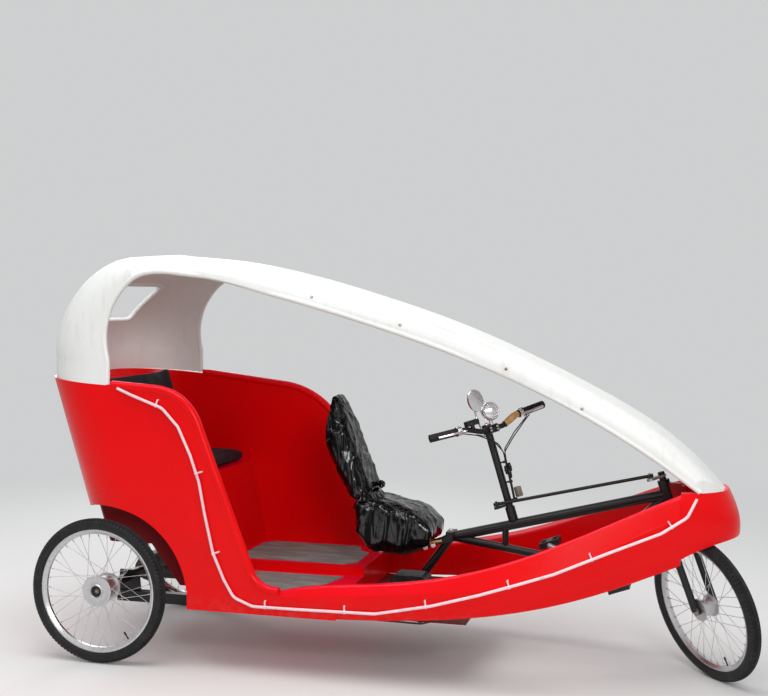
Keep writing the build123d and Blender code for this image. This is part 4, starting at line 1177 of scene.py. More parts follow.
@dataclass
class HoodTrim:
    """Rolled edge of the hood and its band, window lip, gutter bead, screws."""

    stage: Stage
    edge_roll: float = 0.0118
    lip_roll: float = 0.0125
    lip_inset: float = 0.010
    gutter_roll: float = 0.0032
    window_middle: float = 1525.0
    rear_edge: tuple[Point, ...] = (
        (45, 480, 1182), (45, 480, 1230), (45, 480, 1280), (35.3, 480, 1331.7), (34.1, 480, 1405.9),
        (64.3, 480, 1511), (160, 480, 1625))
    band_edge: tuple[Point, ...] = (
        (450, 478, 1640), (760, 405, 1562), (1110, 265, 1450), (1520, 208, 1306), (1950, 192, 1112),
        (2300, 188, 904), (2452, 186, 794))
    window: tuple[Pair, ...] = ((0, 1435), (300, 1435), (375, 1610), (-375, 1610), (-300, 1435), (0, 1435))
    # Pixels of the photograph
    gutter: tuple[Pair, ...] = ((383, 304), (420, 319), (460, 335), (500, 351), (530, 363), (552, 373))
    screws: tuple[Pair, ...] = ((311.5, 297.0), (400.0, 325.0), (506.0, 369.0), (582.0, 409.0))
    dome_profile: Line = ((0, 2.6), (2.5, 2.6), (5.2, 1.6), (6.6, 0), (0, 0))
    slot_profile: Line = ((0, 2.9), (1.2, 2.9), (1.3, 2.0), (0, 2.0))

    def edges(self) -> None:
        """Rolls along both lower edges, from the cab rim round the side opening to the nose."""
        line = flowing(np.array(self.rear_edge + self.band_edge), 12)
        rolls = [Surface.tube(spaced(placed_line(line, side), 0.012), self.edge_roll, 16, lead=(0, 1, 0))
                 for side in (-1, 1)]
        Surface.union(rolls).build("hood_rolled_edge", HOOD_WHITE, "vehicle", "hood_white", 50.0)

    def window_lip(self) -> None:
        """Rounded lip round the rear window, on the middle of the panel's thickness.

        The panel's place is read by rays just outside the opening, at the outline scaled about its middle.
        """
        line = spaced(rounded([(0.0, y, z) for y, z in self.window], [25.0] * 4, 8), 25.0)[:-1]
        middle = np.array([0.0, 0.0, self.window_middle])
        outer = middle + (line - middle) * [1.0, 1.05, 1.12]
        hits = [on_skin("hood_rear", place(-700, y, z), np.array([1.0, 0, 0]))[0] for _, y, z in outer]
        path = placed_line(line)
        path[:, 0] = np.array(hits)[:, 0] + self.lip_inset
        lip = Surface.tube(path, self.lip_roll, 14, closed=True, lead=(1, 0, 0))
        lip.build("hood_window_lip", HOOD_WHITE, "vehicle", "hood_white", 50.0)

    def gutter_bead(self) -> None:
        """Thin bead under the roof's edge on the right side, thinner toward its ends."""
        hits = [on_skin("hood_spine", *self.stage.ray(px, py))[0] for px, py in self.gutter]
        path = spaced(flowing(np.array(hits), 8), 0.012)
        from_end = np.minimum(np.arange(len(path)), np.arange(len(path))[::-1])
        width = self.gutter_roll * np.clip(from_end / 6 + 0.2, 0, 1)
        Surface.tube(path, width, 10).build("hood_gutter_bead", HOOD_WHITE, "vehicle", "hood_white", 50.0)

    def fasteners(self) -> None:
        """Domed screws along the band, each with a small square in its middle."""
        screw = Surface.union([Surface.lathe(self.dome_profile, 18), Surface.lathe(self.slot_profile, 4)])
        screws = [screw.placed(*on_skin("hood_spine", *self.stage.ray(px, py))) for px, py in self.screws]
        Surface.union(screws).build("hood_screws", RUSTY, "vehicle", "steel")

    def build(self) -> None:
        """Make all trim of the hood."""
        self.edges()
        self.window_lip()
        self.gutter_bead()
        self.fasteners()


@dataclass
class Mats:
    """Two ribbed floor mats.

    At each x across the mat, y runs between the two sides of the outline, and z = base + thickness
    + rib (0.5 + 0.5 cos(2 pi x / pitch)) inside a flat border, with a rounded edge.
    """

    pitch: float = 9.0
    rib: float = 1.1
    border: float = 9.0
    edge_drop: float = 2.2
    edge_width: float = 2.5
    gap: float = 0.3
    columns: int = 26
    # Columns: x, right side y, left side y
    low: tuple[Point, ...] = (
        (430, -330, -72), (480, -378, -72), (760, -378, -72), (900, -330, -72), (960, -72.5, -72))
    high: tuple[Point, ...] = ((432, 8, 330), (480, 8, 392), (900, 8, 392), (930, 8, 302), (985, 60, 250))

    def mat(self, table: tuple[Point, ...], base: float) -> Surface:
        """One mat over its outline.

        Args:
            table: Rows of x and the two sides' y.
            base: Height of the floor under it.

        Returns:
            The closed mat.
        """
        rows = np.array(table, float)
        x = np.arange(rows[0, 0], rows[-1, 0] - 1.0, self.pitch / 6)
        right, left = (np.interp(x, rows[:, 0], rows[:, column])[:, None] for column in (1, 2))
        y = right + (left - right) * np.linspace(0.0, 1.0, self.columns)
        inside = np.minimum(np.minimum(y - right, left - y), np.minimum(x - x[0], x[-1] - x)[:, None])
        ribbed = np.clip((inside - self.border) / 2.0, 0.0, 1.0)
        top = base + MAT_T + self.rib * ribbed * (0.5 + 0.5 * np.cos(2 * pi * x / self.pitch))[:, None]
        top = top - self.edge_drop * np.clip(1.0 - inside / self.edge_width, 0.0, 1.0) ** 2
        sheet = np.stack([x[:, None] + 0 * y, y, top], axis=-1)
        under = sheet.copy()
        under[..., 2] = base + self.gap
        ring = placed_line(np.concatenate([sheet, under[:, ::-1]], axis=1))
        mat = Surface.grid(ring, wrap_columns=True)
        index = np.arange(ring.shape[0] * ring.shape[1]).reshape(ring.shape[:2])
        for row, order in ((0, 1), (-1, -1)):
            upper, lower = index[row, :self.columns], index[row, self.columns:][::-1]
            cap = np.stack([upper[:-1], lower[:-1], lower[1:], upper[1:]], axis=1)[:, ::order]
            mat.quads = np.vstack([mat.quads, cap])
        return mat

    def build(self) -> None:
        """Make both mats."""
        mats = Surface.union([self.mat(self.low, FLOOR_LOW), self.mat(self.high, FLOOR_HIGH)])
        mats.build("ribbed_floor_mats", FLOOR_MAT, "vehicle", "mat_grey", 35.0, ("floor_mats",))


@dataclass
class Pad:
    """Cushion swelled from its slightly smaller CAD block by a cloth simulation with inner pressure."""

    name: str
    node: str
    finish: Finish
    slot: str
    inset: float = 0.009
    voxel: float = 0.0095
    pressure: float = 4.0
    cap: float = 0.014
    shrink: float = 0.0
    stiffness: float = 0.4
    fill: float = 0.7
    frames: int = 20

    @staticmethod
    def read(mesh: bpy.types.Mesh, what: str = "co") -> np.ndarray:
        """A mesh's points, or their normals, as an array."""
        flat = np.empty(len(mesh.vertices) * 3)
        mesh.vertices.foreach_get(what, flat)
        return flat.reshape(-1, 3)

    @staticmethod
    def put(mesh: bpy.types.Mesh, points: np.ndarray) -> None:
        """Give a mesh new points."""
        mesh.vertices.foreach_set("co", points.ravel())
        mesh.update()

    @staticmethod
    def settle(piece: bpy.types.Object, kind: str, **settings: object) -> None:
        """Add a modifier and turn it into the piece's mesh.

        Args:
            piece: The piece.
            kind: The modifier's type.
            settings: Its settings by name.
        """
        modifier = piece.modifiers.new(kind.lower(), kind)
        for name, value in settings.items():
            setattr(modifier, name, value)
        seen = piece.evaluated_get(bpy.context.evaluated_depsgraph_get())
        mesh = bpy.data.meshes.new_from_object(seen)
        piece.modifiers.clear()
        piece.data = mesh

    def block(self) -> bpy.types.Object:
        """Copy of the CAD block, drawn in on every side and remeshed.

        Returns:
            The block's object.
        """
        mesh = frame["nodes"][self.node].data.copy()
        points = self.read(mesh)
        low, high = points.min(axis=0), points.max(axis=0)
        middle, size = (low + high) / 2, high - low
        self.put(mesh, middle + (points - middle) * (size - 2 * self.inset) / size)
        block = linked(self.name, mesh)
        self.settle(block, "REMESH", mode="VOXEL", voxel_size=self.voxel)
        return block

    def swell(self, block: bpy.types.Object) -> None:
        """Run the cloth and keep its shape, no point further than the cap from its start.

        Args:
            block: The remeshed block.
        """
        scene = bpy.context.scene
        start = self.read(block.data)
        cloth = block.modifiers.new("cloth", "CLOTH")
        cloth.settings.quality = 6
        cloth.settings.mass = 0.25
        cloth.settings.use_pressure = True
        cloth.settings.uniform_pressure_force = self.pressure
        cloth.settings.shrink_min = -self.shrink
        cloth.settings.bending_stiffness = self.stiffness
        cloth.settings.effector_weights.gravity = 0.0
        cloth.collision_settings.use_collision = False
        cloth.point_cache.frame_start = 1
        cloth.point_cache.frame_end = self.frames
        for step in range(1, self.frames + 1):
            scene.frame_set(step)
        seen = block.evaluated_get(bpy.context.evaluated_depsgraph_get())
        moved = self.read(seen.data) - start
        far = np.linalg.norm(moved, axis=1, keepdims=True)
        block.modifiers.clear()
        scene.frame_set(1)
        self.put(block.data, start + moved * np.minimum(1.0, self.cap / np.maximum(far, 1e-9)))

    def detail(self, block: bpy.types.Object) -> None:
        """Nothing to add on a plain cushion."""

    def build(self) -> None:
        """Make the pad, with one subdivision and smooth faces."""
        block = self.block()
        self.swell(block)
        self.detail(block)
        self.settle(block, "SUBSURF", levels=1, render_levels=1)
        block.data.shade_smooth()
        PAINT.dress(block, self.finish)
        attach(block, "vehicle")
        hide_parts(self.node)
        log.info("built %s with %d faces", self.name, len(block.data.polygons))


@dataclass
class BagCover(Pad):
    """Thin bag drawn over a seat pad: its cloth is larger than the pad, so it wrinkles.

    After the simulation a point moves along its normal by the sum of folds f = d (1 - |sin(u)|)^n, where
    the phase u runs across the fold's direction and is bent by slow waves.
    """

    inset: float = 0.006
    voxel: float = 0.006
    pressure: float = 2.5
    cap: float = 0.009
    shrink: float = 0.035
    stiffness: float = 0.02
    folds: float = 0.004
    gather: Point = (0.0, 0.0, 0.0)
    gather_reach: float = 0.12
    hemmed: bool = False
    hem_place: Point = (1056.0, 0.0, 712.0)
    hem_half: Pair = (50.0, 120.0)
    hem_skins: Pair = (0.0, 1.2)
    hem_sunk: float = 16.0
    hem_flare: float = 30.0
    hem_wave: float = 3.0
    hem_drop: float = 32.0
    hem_drop_behind: float = 54.0

    def even(self, block: bpy.types.Object, rounds: int) -> None:
        """Draw every point toward its neighbours a number of times."""
        self.settle(block, "SMOOTH", factor=0.5, iterations=rounds)

    def block(self) -> bpy.types.Object:
        """Remeshed copy of the CAD block with its edges rounded off."""
        block = super().block()
        self.even(block, 28)
        return block

    def hem(self) -> Surface:
        """Gathered hem round the foot of the backrest.

        At turn t round it and share s down it, it stands off the oval by flare s - sunk + wave s sin(13 t).
        It drops by drop s in front, where it goes down on the pad, and further behind.

        Returns:
            The hem with its two skins.
        """
        turn = np.linspace(0.0, 2 * pi, 156, endpoint=False)[None, :]
        share = np.linspace(0.0, 1.0, 9)[:, None]
        wave = np.sin(13.0 * turn + 0.8 * np.sin(3.0 * turn)) + 0.5 * np.sin(29.0 * turn + 1.0)
        behind = np.clip(-np.cos(turn) - 0.35, 0.0, 1.0) / 0.65
        drop = share * (self.hem_drop + self.hem_drop_behind * behind) - self.hem_wave / 2 * share * wave
        layers = []
        for skin in self.hem_skins:
            off = self.hem_flare * share - self.hem_sunk + self.hem_wave * share * wave + skin
            x = (self.hem_half[0] + off) * np.cos(turn)
            y = (self.hem_half[1] + off * 0.9) * np.sin(turn)
            layers.append(placed_line(np.stack([x, y, -drop], axis=-1) + self.hem_place))
        ring = np.concatenate([layers[1], layers[0][::-1]], axis=0)
        return Surface.grid(ring, wrap_rows=True, wrap_columns=True)

    def crease(self, block: bpy.types.Object) -> None:
        """Add long folds, diagonal folds and gathers that run to one point.

        Args:
            block: The smoothed bag.
        """
        points, normals = self.read(block.data), self.read(block.data, "normal")
        x, y, z = (points - place(*self.gather)).T
        slow = (np.sin(17.0 * z + 9.0 * y) + 0.8 * np.sin(23.0 * x - 11.0 * z + 1.3)
                + 0.6 * np.sin(37.0 * y + 19.0 * x))
        patch = 0.5 + 0.5 * np.sin(11.0 * z - 13.0 * y + 1.1 * slow)
        long = (1.0 - np.abs(np.sin(24.0 * y + 29.0 * x + 5.0 * z + 1.1 * slow))) ** 2 * (0.35 + 0.65 * patch)
        diagonal = (1.0 - np.abs(np.sin(19.0 * z - 16.0 * x + 12.0 * y + 1.7 * slow))) ** 4 * (1.0 - patch)
        reach = np.sqrt(x**2 + (0.6 * y) ** 2 + z**2)
        around = np.arctan2(z, x + 0.35 * y) * 7.0 + 20.0 * y
        pull = np.exp(-((reach / self.gather_reach) ** 2)) * (1.0 - np.abs(np.sin(around + slow)))
        lift = self.folds * (1.5 * long + 0.8 * diagonal + 1.0 * pull - 0.5)
        self.put(block.data, points + normals * lift[:, None])

    def detail(self, block: bpy.types.Object) -> None:
        """Smoothing, folds and the hem.

        Args:
            block: The wrinkled bag.
        """
        self.even(block, 8)
        self.crease(block)
        if self.hemmed:
            hem = self.hem()
            mesh = bpy.data.meshes.new("hem")
            mesh.from_pydata(hem.points.tolist(), [], hem.quads.tolist())
            work = bmesh.new()
            work.from_mesh(block.data)
            work.from_mesh(mesh)
            bmesh.ops.recalc_face_normals(work, faces=work.faces)
            work.to_mesh(block.data)
            work.free()


@dataclass
class Benches:
    """Passenger cushions, and the driver's seat under its bag with a knot."""

    knot: Point = (1099.0, 36.0, 733.0)
    knot_radius: float = 15.0
    knot_lean: Point = (0.6, 0.1, 0.8)

    def cover_knot(self) -> None:
        """Crumpled knot at the front of the driver's cover.

        A ball whose radius is multiplied by 1 + (0.24 sin(5 t + 3 p) + 0.16 sin(9 p - 2 t)) sin p at turn t
        and polar angle p.
        """
        ball = Surface.lathe([(self.knot_radius * sin(p), self.knot_radius * cos(p))
                              for p in np.linspace(0.0, pi, 19)], 36)
        turn = np.arctan2(ball.points[:, 1], ball.points[:, 0])
        polar = np.arccos(np.clip(ball.points[:, 2] * 1000 / self.knot_radius, -1.0, 1.0))
        wave = 0.24 * np.sin(5.0 * turn + 3.0 * polar) + 0.16 * np.sin(9.0 * polar - 2.0 * turn)
        ball.points *= (1.0 + wave * np.sin(polar))[:, None]
        ball = ball.placed(place(*self.knot), self.knot_lean)
        ball.build("cover_knot", BAG_FILM, "vehicle", "cover_black", 60.0)

    def build(self) -> None:
        """Make the knot, the cushions and the covers."""
        self.cover_knot()
        Pad("bench_cushion", "seat_cushion", CLOTH, "cushion_black", fill=0.75).build()
        Pad("backrest_cushion", "back_cushion", CLOTH, "cushion_black", fill=0.7).build()
        BagCover("driver_base_cover", "driver_seat_base", BAG_FILM, "cover_black", fill=0.5, folds=0.0038,
                 gather=(1090, -60, 672), gather_reach=0.10).build()
        BagCover("driver_back_cover", "driver_seat_back", BAG_FILM, "cover_black", fill=0.4, folds=0.0045,
                 gather=(1000, -60, 700), gather_reach=0.13, hemmed=True).build()


class Helm:
    """Directions at the handlebar as it is parked, and its points."""

    def __init__(self) -> None:
        """Read the column's axis and turn the bar's directions to the parked angle."""
        self.lean = np.array([-sin(RAKE), 0.0, cos(RAKE)])
        self.ahead = self.heading(STEER_REST)
        self.left = self.heading(STEER_REST + pi / 2)
        self.clamp = np.array(COLUMN) + self.lean * ((COLUMN_TOP - COLUMN[2]) / self.lean[2] - 18.0)

    @staticmethod
    def heading(turn: float) -> np.ndarray:
        """Direction square to the steering axis, at an angle from straight ahead."""
        return np.array([cos(RAKE) * cos(turn), sin(turn), sin(RAKE) * cos(turn)])

    def at(self, along: float, out: float, up: float) -> np.ndarray:
        """Point on the handlebar: forward of the bar, left and up from the clamp, in millimetres."""
        return place(*(self.clamp + self.ahead * (STEM + along) + self.left * out + self.lean * up))

    def beside(self, drop: float, ahead: float, out: float) -> np.ndarray:
        """Point near the column: down from the clamp, forward and left of its axis, in millimetres."""
        return place(*(self.clamp - self.lean * drop + self.ahead * ahead + self.left * out))

    def bar(self) -> np.ndarray:
        """Middle line of the bent bar from the right end to the left."""
        corners = [(-30, -BAR_HALF, BAR_RISE), (0, -120, 28), (0, -52, 0), (0, 52, 0), (0, 120, 28),
                   (-30, BAR_HALF, BAR_RISE)]
        return rounded([tuple(self.at(*corner)) for corner in corners], [0.060, 0.050, 0.050, 0.060], 8)

    def end(self, side: int) -> tuple[np.ndarray, np.ndarray]:
        """End of the bar on one side.

        Args:
            side: -1 for the right, 1 for the left.

        Returns:
            The end's point and the direction outward along the bar.
        """
        outer, inner = self.at(-30, side * BAR_HALF, BAR_RISE), self.at(0, side * 120, 28)
        return outer, (outer - inner) / np.linalg.norm(outer - inner)


@dataclass
class Steering:
    """What the handlebar carries: ribbed grips, tan sleeve, lamp lens, mirror glass, display, clamps."""

    helm: Helm = field(default_factory=Helm)
    body: str = "handlebar_column"
    grip_length: float = 112.0
    grip_r: float = 16.6
    rib_height: float = 0.9
    ribs: int = 16
    sleeve_points: int = 22
    sleeve_wall: float = 2.2
    band_wall: float = 3.1
    # Places on the bar: forward, left and up from the clamp
    lamp_at: Point = (-30.0, 0.0, 74.0)
    mirror_at: Point = (10.0, -50.0, 134.0)
    mirror_stretch: float = 46.0 / 34.0
    display_at: Point = (0.0, -88.0, 59.1)
    screen_edge: Line = ((-24, 0), (-24, 13), (10, 13), (10, -13), (-24, -13), (-24, 0))
    screen_round: float = 3.0
    keys_left: float = 19.0
    keys_ahead: tuple[float, ...] = (-10.0, 0.0, 10.0)
    lever_seat: float = 0.128
    barrel_ahead: float = 0.034
    barrel_down: float = 0.004
    lever_bolt_up: float = 0.0175
    cap_up: float = 18.2
    # Forward, left and up from the bar's middle
    clamp_bolts: tuple[Point, ...] = ((17.5, -16, -5), (17.5, -16, 5), (17.5, 16, -5), (17.5, 16, 5))
    # Places near the column: down from the clamp, forward and left
    plugs_at: tuple[Point, ...] = ((176, 44, 30), (184, 40, 12), (202, 48, 20))
    box_at: Point = (284, 50, 34)
    box_half: Pair = (16.0, 12.0)
    # Profiles about each piece's own axis: radius and height
    lens_profile: Line = ((0, 65.5), (10, 65), (20, 63), (28, 59.8), (31.8, 57.5), (31.8, 57.2), (0, 57.2))
    ring_profile: Line = (
        (32.2, 57.8), (33.6, 61.8), (36.8, 62.2), (38.8, 60), (39.1, 52), (38.3, 52), (38.3, 57.8),
        (32.2, 57.8))
    glass_profile: Line = ((0, 2.2), (12, 2), (22, 1.4), (30, 0.5), (30, 0.2), (0, 0.2))
    glass_rim_profile: Line = (
        (30, 0.4), (30.6, 2.1), (32.5, 2.6), (34.4, 1.6), (34.8, -1), (34.2, -2), (34.2, 0.2), (30, 0.4))
    key_profile: Line = ((0, 2.2), (2.8, 2.1), (3.8, 1.4), (4, 0), (0, 0))
    collar_profile: Line = ((17.2, -10), (18.6, -8.5), (18.6, 8.5), (17.2, 10), (17.2, -10))
    barrel_profile: Line = ((0, 18), (2.4, 18), (3, 12), (4.5, 11), (4.5, 2), (3.4, 0), (0, 0))
    cap_profile: Line = ((0, 10.5), (6, 10.3), (7.5, 6), (16.5, 4.5), (16.8, 0), (0, 0))
    plug_profile: Line = (
        (0, -19), (4.2, -19), (6.4, -15), (7.2, -4), (8.6, -3), (8.6, 3), (7.2, 4), (6.4, 15), (4.2, 19),
        (0, 19))
    # Scale and height
    screen_steps: Line = ((0, 1.4), (0.955, 1.4), (1, 1), (1, 0), (0, 0))
    box_steps: Line = ((0, -21), (0.86, -21), (1, -18), (1, 18), (0.86, 21), (0, 21))

    def grips(self) -> None:
        """Two grips with a flange inside and a round end.

        The radius along the bar is r = R + a (0.5 + 0.5 cos(2 pi n t)).
        """
        length = self.grip_length
        run = np.linspace(0.0, length, self.ribs * 8 + 1)
        ribbed = self.grip_r - 0.4 + self.rib_height * (0.5 + 0.5 * np.cos(2 * pi * self.ribs * run / length))
        foot = [(0, -3.5), (11.3, -3.5), (19.6, -3.5), (20.4, -2), (19.6, 0.5)]
        end = [(17.2, length + 1), (16.6, length + 4.5), (12, length + 6.2), (0, length + 6.4)]
        grip = Surface.lathe(foot + list(zip(ribbed, run)) + end, 28)
        ends = [self.helm.end(side) for side in (-1, 1)]
        Surface.union([grip.placed(outer - along * length / 1000, along) for outer, along in ends]).build(
            "ribbed_grips", GRIP_RUBBER, self.body, "grip_black", 50.0, ("grips",))

    def sleeve(self) -> None:
        """Tan sleeve on the left half of the bar, swollen in the middle, with a dark band at each end."""
        path = spaced(self.helm.bar(), 0.004)
        start = int(np.argmin(np.linalg.norm(path - self.helm.at(0, 52, 0), axis=1))) + 2
        part = path[start:start + self.sleeve_points]
        swell = np.sin(pi * np.linspace(0.0, 1.0, len(part)))
        radius = (BAR_R + self.sleeve_wall * (1.0 + swell)) / 1000
        Surface.tube(part, radius, 18, lead=(0, 0, 1)).build("tan_bar_sleeve", CORK, self.body, "bar_black")
        bands = [Surface.tube(rows, (BAR_R + self.band_wall) / 1000, 18, lead=(0, 0, 1))
                 for rows in (part[:2], part[-2:])]
        Surface.union(bands).build("sleeve_bands", BLACK_PLASTIC, self.body, "bar_black")

    def lamp(self) -> None:
        """Domed fluted lens and its bright ring in the lamp's mouth."""
        back, ahead = self.helm.at(*self.lamp_at), self.helm.ahead
        lens = Surface.lathe(self.lens_profile, 40).placed(back, ahead)
        lens.build("lamp_lens", LAMP_LENS, self.body, "lamp_silver", 60.0)
        ring = Surface.lathe(self.ring_profile, 44).placed(back, ahead)
        ring.build("lamp_ring", CHROME, self.body, "lamp_silver", 50.0)

    def mirror(self) -> None:
        """Slightly domed oval glass and a rolled rim: a lathe stretched to the mirror's oval."""
        head = self.helm.at(*self.mirror_at)
        for name, profile, finish in (("mirror_glass", self.glass_profile, MIRROR_FACE),
                                      ("mirror_rim", self.glass_rim_profile, BLACK_PLASTIC)):
            oval = Surface.lathe(profile, 48)
            oval.points *= [1.0, self.mirror_stretch, 1.0]
            oval = oval.placed(head, -self.helm.ahead, self.helm.left)
            oval.build(name, finish, self.body, "mirror_glass", 50.0)

    def display(self) -> None:
        """Screen and three keys on the display's top."""
        along, out, up = self.display_at
        edge = rounded(self.screen_edge, [self.screen_round] * 4, 5)[:-1]
        screen = Surface.stacked(edge, self.screen_steps)
        screen = screen.placed(self.helm.at(along, out, up), self.helm.lean, self.helm.left)
        screen.build("display_screen", SCREEN, self.body, "box_black", 50.0)
        key = Surface.lathe(self.key_profile, 18)
        keys = [key.placed(self.helm.at(along + step, out + self.keys_left, up), self.helm.lean)
                for step in self.keys_ahead]
        Surface.union(keys).build("display_keys", HOUSING, self.body, "box_black", 50.0)

    def clamps(self) -> None:
        """Collars, bolts and barrels at the levers and the clamp, and the stem's cap."""
        lean, ahead = self.helm.lean, self.helm.ahead
        collar, barrel = Surface.lathe(self.collar_profile, 28), Surface.lathe(self.barrel_profile, 14)
        silver, bolts = [], []
        for side in (-1, 1):
            outer, along = self.helm.end(side)
            seat = outer - along * self.lever_seat
            screw = seat + ahead * self.barrel_ahead - lean * self.barrel_down
            silver += [collar.placed(seat, along), barrel.placed(screw, -along)]
            bolts.append(hex_bolt(4.2, 4.0).placed(seat + lean * self.lever_bolt_up, lean))
        silver.append(Surface.lathe(self.cap_profile, 26).placed(self.helm.beside(-self.cap_up, 0, 0), lean))
        Surface.union(silver).build("bar_clamps", CHROME, self.body, "lever_silver", 40.0)
        bolts += [hex_bolt(4.0, 3.8).placed(self.helm.at(*at), ahead) for at in self.clamp_bolts]
        Surface.union(bolts).build("bar_bolts", STEEL, self.body, "steel", 30.0)

    def bundle(self) -> None:
        """Plug connectors on the cable bundle and the small grey-brown box beside it.

        The box's outline is a rounded oblong: x = a sign(c) |c|^0.35 and y = b sign(s) |s|^0.35, for cosine c
        and sine s.
        """
        plug = Surface.lathe(self.plug_profile, 18)
        plugs = [plug.placed(self.helm.beside(*at), self.helm.lean) for at in self.plugs_at]
        Surface.union(plugs).build("cable_plugs", CABLE_SLEEVE, self.body, "cable_black", 40.0)
        turn = np.linspace(0.0, 2 * pi, 40, endpoint=False)
        edge = np.stack([np.sign(wave) * np.abs(wave) ** 0.35 * half
                         for wave, half in zip((np.cos(turn), np.sin(turn)), self.box_half)], axis=1)
        box = Surface.stacked(edge, self.box_steps)
        box = box.placed(self.helm.beside(*self.box_at), self.helm.lean, self.helm.ahead)
        box.build("cable_box", HOUSING, self.body, "cable_black", 45.0)

    def build(self) -> None:
        """Make everything on the handlebar."""
        for make in (self.grips, self.sleeve, self.lamp, self.mirror, self.display, self.clamps, self.bundle):
            make()


@dataclass
class Drive:
    """Roller chain link by link, teeth, crank bolts, pedal studs."""

    pitch: float = 2 * pi * 0.084 / 40
    middle: float = -46.0
    crank: Pair = (1985.0, 442.0)
    crank_length: float = 165.0
    crank_lift: float = radians(20.0)
    spindle_end: float = 66.2
    ring_bolts: int = 5
    ring_bolt_circle: float = 40.0
    ring_face: float = 2.2
    tooth: float = 6.4
    tooth_root: float = 4.2
    link_straight: float = 4.2
    link_lobe: float = 6.0
    link_half: float = 4.0
    link_waist: float = 0.7
    inner_plate: float = 0.0026
    plate_step: float = 0.0011
    stud_row: float = 0.0395
    tread_half: float = 0.0119
    roller_profile: Line = ((0, -3.4), (3, -3.4), (3.8, -2.2), (3.8, 2.2), (3, 3.4), (0, 3.4))
    stud_profile: Line = ((0, 2.6), (1.1, 2.6), (1.9, 0), (0, 0))
    # Scale and height of a link plate's rings
    plate_steps: Line = ((0, -0.5), (0.86, -0.5), (1, -0.2), (1, 0.2), (0.86, 0.5), (0, 0.5))
    # Columns: x, z, radius, turning sense
    pulleys: tuple[tuple[float, float, float, int], ...] = (
        (1985, 442, 84, -1), (1296, 172, 24, -1), (332, 178, 20, -1), (0, 307.5, 46, -1), (300, 236, 24, 1),
        (1330, 236, 24, 1))

    def line(self) -> np.ndarray:
        """Closed line of the chain round its pulleys: arcs joined by common tangents.

        Returns:
            Points along the chain, from the chainring on.
        """
        table = np.array(self.pulleys, float)
        after = np.roll(table, -1, axis=0)
        gap = after[:, :2] - table[:, :2]
        lever = after[:, 3] * after[:, 2] - table[:, 3] * table[:, 2]
        turn = np.arctan2(gap[:, 1], gap[:, 0]) - np.arcsin(lever / np.linalg.norm(gap, axis=1))
        normal = np.stack([-np.sin(turn), np.cos(turn)], axis=1)
        leave = table[:, :2] - table[:, 3:] * table[:, 2:3] * normal
        arrive = np.roll(after[:, :2] - after[:, 3:] * after[:, 2:3] * normal, 1, axis=0)
        runs = []
        for (x, z, radius, sense), start, stop in zip(table, arrive, leave):
            first = np.arctan2(start[1] - z, start[0] - x)
            last = np.arctan2(stop[1] - z, stop[0] - x)
            angle = first + sense * ((sense * (last - first)) % (2 * pi)) * np.linspace(0.0, 1.0, 40)
            arc = [x + radius * np.cos(angle), self.middle + 0 * angle, z + radius * np.sin(angle)]
            runs.append(np.stack(arc, axis=1))
        return placed_line(np.vstack(runs + [runs[0][:1]]))

    def chain(self) -> None:
        """Links with rollers: side plates shaped like an eight on every pitch, in turn inside and outside.

        At turn t a plate's edge is x = a c + b sign(c) |c|^0.5 and y = s (h - w |s|^6), for cosine c and
        sine s.
        """
        path = self.line()
        total = np.linalg.norm(np.diff(path, axis=0), axis=1).sum()
        count = int(round(total / self.pitch / 2)) * 2
        pins = spaced(path, total / count)[:-1]
        ahead = np.roll(pins, -1, axis=0) - pins
        x_axis = ahead / np.linalg.norm(ahead, axis=1, keepdims=True)
        z_axis = np.array([0.0, 1.0, 0.0]) + 0 * x_axis
        basis = np.stack([x_axis, np.cross(z_axis, x_axis), z_axis], axis=1)
        turn = np.linspace(0.0, 2 * pi, 16, endpoint=False)
        waist = self.link_half - self.link_waist * np.abs(np.sin(turn)) ** 6
        lobes = np.sign(np.cos(turn)) * np.abs(np.cos(turn)) ** 0.5 * self.link_lobe
        edge = np.stack([np.cos(turn) * self.link_straight + lobes, np.sin(turn) * waist], axis=1)
        plate, roller = Surface.stacked(edge, self.plate_steps), Surface.lathe(self.roller_profile, 10)
        spread = self.inner_plate + self.plate_step * (np.arange(count) % 2)[:, None]
        pieces = [plate.repeated(pins + ahead / 2 + z_axis * side * spread, basis) for side in (-1, 1)]
        pieces.append(roller.repeated(pins, basis))
        Surface.union(pieces).build("roller_chain", CHAIN_STEEL, "vehicle", "chain_steel", 40.0, ("chain",))

    def teeth(self, pulley: int, inner: float, half: float) -> Surface:
        """Toothed ring between two faces.

        Its outer radius is r = R - root + tooth max(0, cos(n (t - t0)))^0.8, with t0 between two rollers.

        Args:
            pulley: Which pulley it belongs to.
            inner: Its inner radius.
            half: Half its thickness.

        Returns:
            The closed ring.
        """
        x, z, radius, _ = self.pulleys[pulley]
        count = int(round(2 * pi * radius / (self.pitch * 1000)))
        start = self.line()[0]
        phase = np.arctan2(start[2] - z / 1000, start[0] - AXLE_X - x / 1000) + pi / count
        turn = np.linspace(0.0, 2 * pi, count * 12, endpoint=False)
        crest = np.clip(np.cos(count * (turn - phase)), 0.0, 1.0) ** 0.8
        tip = radius - self.tooth_root + self.tooth * crest
        rows = [(inner, -half), (tip - 2.0, -half), (tip, -half * 0.35), (tip, half * 0.35),
                (tip - 2.0, half), (inner, half)]
        rings = [np.stack([x + r * np.cos(turn), self.middle + h + 0 * turn, z + r * np.sin(turn)], axis=-1)
                 for r, h in rows]
        return Surface.grid(placed_line(np.stack(rings)), wrap_rows=True, wrap_columns=True)

